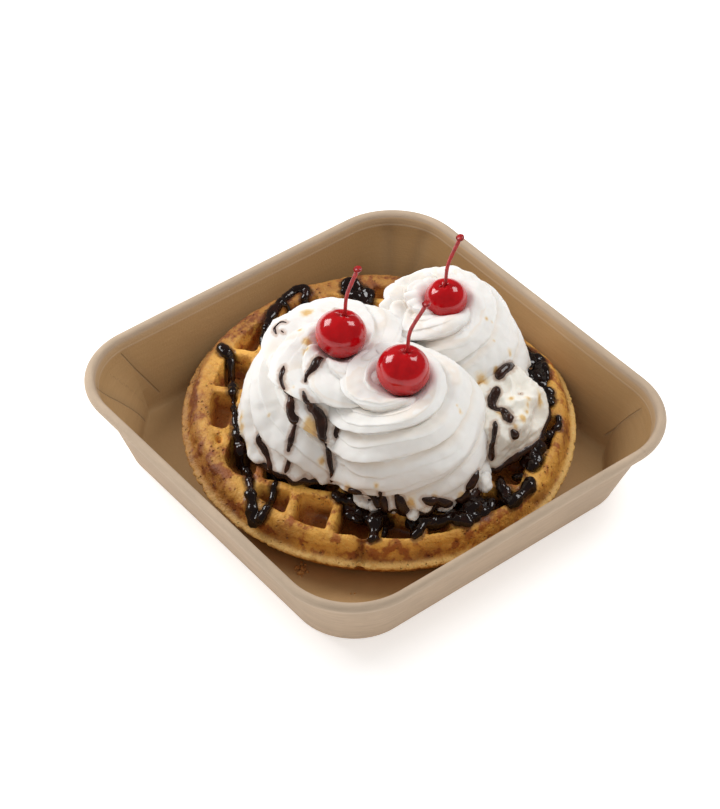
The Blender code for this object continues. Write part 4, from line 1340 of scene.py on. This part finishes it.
def spread_stain(sauce, names, attribute, reach):
    """Writes how near each point of these pieces lies to the sauce: 1 at it, 0 at reach metres."""
    points = points_of(sauce)[::3]
    tree = KDTree(len(points))
    for n, point in enumerate(points):
        tree.insert(point, n)
    tree.balance()
    for name in names:
        piece = bpy.data.objects[name]
        near = [max(0.0, 1 - tree.find(point)[2] / reach) for point in points_of(piece)]
        write_attribute(piece, attribute, near)


class SUNDAE_OT_chocolate(bpy.types.Operator):
    """Pours the glossy chocolate over the waffle and draws the thinner drizzle on the cream"""
    bl_idname = "sundae.chocolate"
    bl_label = "Chocolate"

    def execute(self, context):
        colours = context.scene.sundae_colours
        chance = random.Random(7)
        height = skin_under("waffle_skin")
        made = [pour(f"pour_{n}", hang, way, height, n * 2.3) for n, (hang, way) in enumerate(POURS)]
        made += [heap(f"heap_{n}", *patch, height, chance) for n, patch in enumerate(HEAPS)]
        sauce = joined("poured_chocolate", made)
        apply(sauce, "REMESH", mode="VOXEL", voxel_size=0.00048)
        apply(sauce, "SMOOTH", factor=0.5, iterations=2)
        roughen(sauce)
        to_row_frame(sauce)
        spread_stain(sauce, ["waffle_skin"], "stain", 0.0030)
        dark = chocolate_finish("chocolate", tuple(colours.chocolate), 0.04)
        finish_piece(sauce, dark)

        skins = {FRONT: "swirl_front", LEFT: "swirl_left", BACK: "swirl_back", LUMP: "scoop"}
        skins = {swirl: skin_of(name) for swirl, name in skins.items()}
        bars = [drip(f"drip_{n}", swirl, way, skins[swirl], n * 1.9) for n, (swirl, way) in enumerate(DRIPS)]
        drizzle = joined("cream_drizzle", bars)
        apply(drizzle, "REMESH", mode="VOXEL", voxel_size=0.00042)
        apply(drizzle, "SMOOTH", factor=0.5, iterations=3)
        creams = ["swirl_front", "swirl_left", "swirl_back", "scoop", "crumbled_cream"]
        spread_stain(drizzle, creams, "smear", 0.0024)
        brown = chocolate_finish("thin_chocolate", tuple(colours.thin_chocolate), 0.18)
        finish_piece(drizzle, brown)
        return {"FINISHED"}


# Crumbs and stage


class SUNDAE_OT_crumbs(bpy.types.Operator):
    """Strews a few crumbs of waffle on the tray's floor"""
    bl_idname = "sundae.crumbs"
    bl_label = "Crumbs"

    def execute(self, context):
        chance = random.Random(12)
        crumbs = []
        for middle, count in (((35.0, -67.0), 12), ((37.5, -68.0), 6), ((60.0, -60.0), 2)):
            for _ in range(count):
                deselect()
                bpy.ops.mesh.primitive_ico_sphere_add(subdivisions=2, radius=1.0)
                crumb = bpy.context.object
                size = chance.uniform(0.40, 1.10)
                x = middle[0] + chance.gauss(0, 1.8)
                y = middle[1] + chance.gauss(0, 1.8)
                place = Vector((x, y, 0.9 + size * 0.45))
                seed = chance.uniform(0, 50)
                shaped = []
                for point in points_of(crumb):
                    swell = 1 + 0.5 * lumps(point, 0.8, seed, 2)
                    shaped.append((Vector(point) * size * swell + place) * MM)
                set_points(crumb, shaped)
                crumbs.append(crumb)
        piece = joined("crumbs", crumbs)
        for name, value in (("depth", 0.0), ("wet", 0.0), ("stain", 0.0), ("burnt", 0.0), ("crumb", 1.0)):
            write_attribute(piece, name, [value] * len(piece.data.vertices))
        finish_piece(piece, bpy.data.materials["waffle_crust"], slot="waffle_crust")
        return {"FINISHED"}


# The photograph's view: where the lens is, and its right, up and backward directions
VIEW_PLACE = Vector((0.62214, -0.53310, 0.80917))
VIEW_RIGHT = Vector((0.63017, 0.77619, 0.02025))
VIEW_UP = Vector((-0.54381, 0.42259, 0.72504))
VIEW_BACK = Vector((0.55421, -0.46792, 0.68841))
VIEW_LENS = 115.3
# The directions of the two windows of soft light, from the object
KEY_FROM = Vector((-0.707, -0.330, 0.614))
FILL_FROM = Vector((0.152, 0.596, 0.784))


class SUNDAE_OT_stage(bpy.types.Operator):
    """Sets the pale floor, the soft lights and the camera"""
    bl_idname = "sundae.stage"
    bl_label = "Stage"

    def execute(self, context):
        settings = context.scene.stage_settings
        deselect()
        bpy.ops.mesh.primitive_plane_add(size=6.0, location=(0.0, 0.0, -0.0002))
        floor = bpy.context.object
        floor.name = "pale_floor"
        white = Finish(
            "pale_floor", Base_Color=(0.93, 0.93, 0.93, 1.0), Roughness=0.9, Specular_IOR_Level=0.0,
            Emission_Color=(1.0, 1.0, 1.0, 1.0), Emission_Strength=0.42)
        floor.data.materials.append(white.material)
        self.window("key", KEY_FROM, 0.75, 0.34, settings.key)
        self.window("fill", FILL_FROM, 0.80, 0.30, settings.fill)
        world = bpy.data.worlds.new("white_room")
        world.use_nodes = True
        tree = world.node_tree
        room = tree.nodes["Background"]
        mirrored = tree.nodes.new("ShaderNodeBackground")
        for background, strength in ((room, settings.sky), (mirrored, settings.mirrored)):
            background.inputs["Color"].default_value = (1.0, 1.0, 1.0, 1.0)
            background.inputs["Strength"].default_value = strength
        either = tree.nodes.new("ShaderNodeMixShader")
        path = tree.nodes.new("ShaderNodeLightPath")
        tree.links.new(path.outputs["Is Glossy Ray"], either.inputs[0])
        tree.links.new(room.outputs[0], either.inputs[1])
        tree.links.new(mirrored.outputs[0], either.inputs[2])
        tree.links.new(either.outputs[0], tree.nodes["World Output"].inputs["Surface"])
        context.scene.world = world
        context.scene.view_settings.view_transform = "Standard"
        data = bpy.data.cameras.new("view")
        data.lens = VIEW_LENS
        data.sensor_width = 36.0
        data.clip_start = 0.01
        camera = bpy.data.objects.new("view", data)
        context.scene.collection.objects.link(camera)
        turned = Matrix((VIEW_RIGHT, VIEW_UP, VIEW_BACK)).transposed().to_4x4()
        camera.matrix_world = Matrix.Translation(VIEW_PLACE) @ turned
        context.scene.camera = camera
        return {"FINISHED"}

    def window(self, name, direction, distance, size, power):
        deselect()
        bpy.ops.object.light_add(type="AREA", location=direction.normalized() * distance)
        lamp = bpy.context.object
        lamp.name = name
        lamp.data.shape = "RECTANGLE"
        lamp.data.size = size
        lamp.data.size_y = size
        lamp.data.energy = power
        lamp.rotation_mode = "QUATERNION"
        lamp.rotation_quaternion = direction.to_track_quat("Z", "Y")


OPERATORS = (
    SUNDAE_OT_tray, SUNDAE_OT_waffle, SUNDAE_OT_cream, SUNDAE_OT_ice_cream, SUNDAE_OT_cherries,
    SUNDAE_OT_chocolate, SUNDAE_OT_crumbs, SUNDAE_OT_stage,
)


class SUNDAE_PT_panel(bpy.types.Panel):
    """Lists the pieces, sizes and colours"""
    bl_idname = "SUNDAE_PT_panel"
    bl_label = "Waffle sundae"
    bl_space_type = "VIEW_3D"
    bl_region_type = "UI"
    bl_category = "Waffle sundae"

    def draw(self, context):
        for operator in OPERATORS:
            self.layout.operator(operator.bl_idname)
        for group in SETTINGS:
            settings = getattr(context.scene, group)
            box = self.layout.box()
            for name in settings.bl_rna.properties.keys():
                if name not in ("rna_type", "name"):
                    box.prop(settings, name)


SETTINGS = {
    "tray_sizes": TraySizes, "waffle_sizes": WaffleSizes, "sundae_colours": SundaeColours,
    "stage_settings": StageSettings,
}


def register():
    for made in (*SETTINGS.values(), *OPERATORS, SUNDAE_PT_panel):
        bpy.utils.register_class(made)
    for name, group in SETTINGS.items():
        setattr(bpy.types.Scene, name, PointerProperty(type=group))


def unregister():
    for name in SETTINGS:
        delattr(bpy.types.Scene, name)
    for made in (SUNDAE_PT_panel, *OPERATORS, *SETTINGS.values()):
        bpy.utils.unregister_class(made)


def main():
    register()
    bpy.ops.sundae.tray()
    bpy.ops.sundae.waffle()
    bpy.ops.sundae.cream()
    bpy.ops.sundae.ice_cream()
    bpy.ops.sundae.cherries()
    bpy.ops.sundae.chocolate()
    bpy.ops.sundae.crumbs()
    bpy.ops.sundae.stage()


if __name__ == "__main__":
    main()
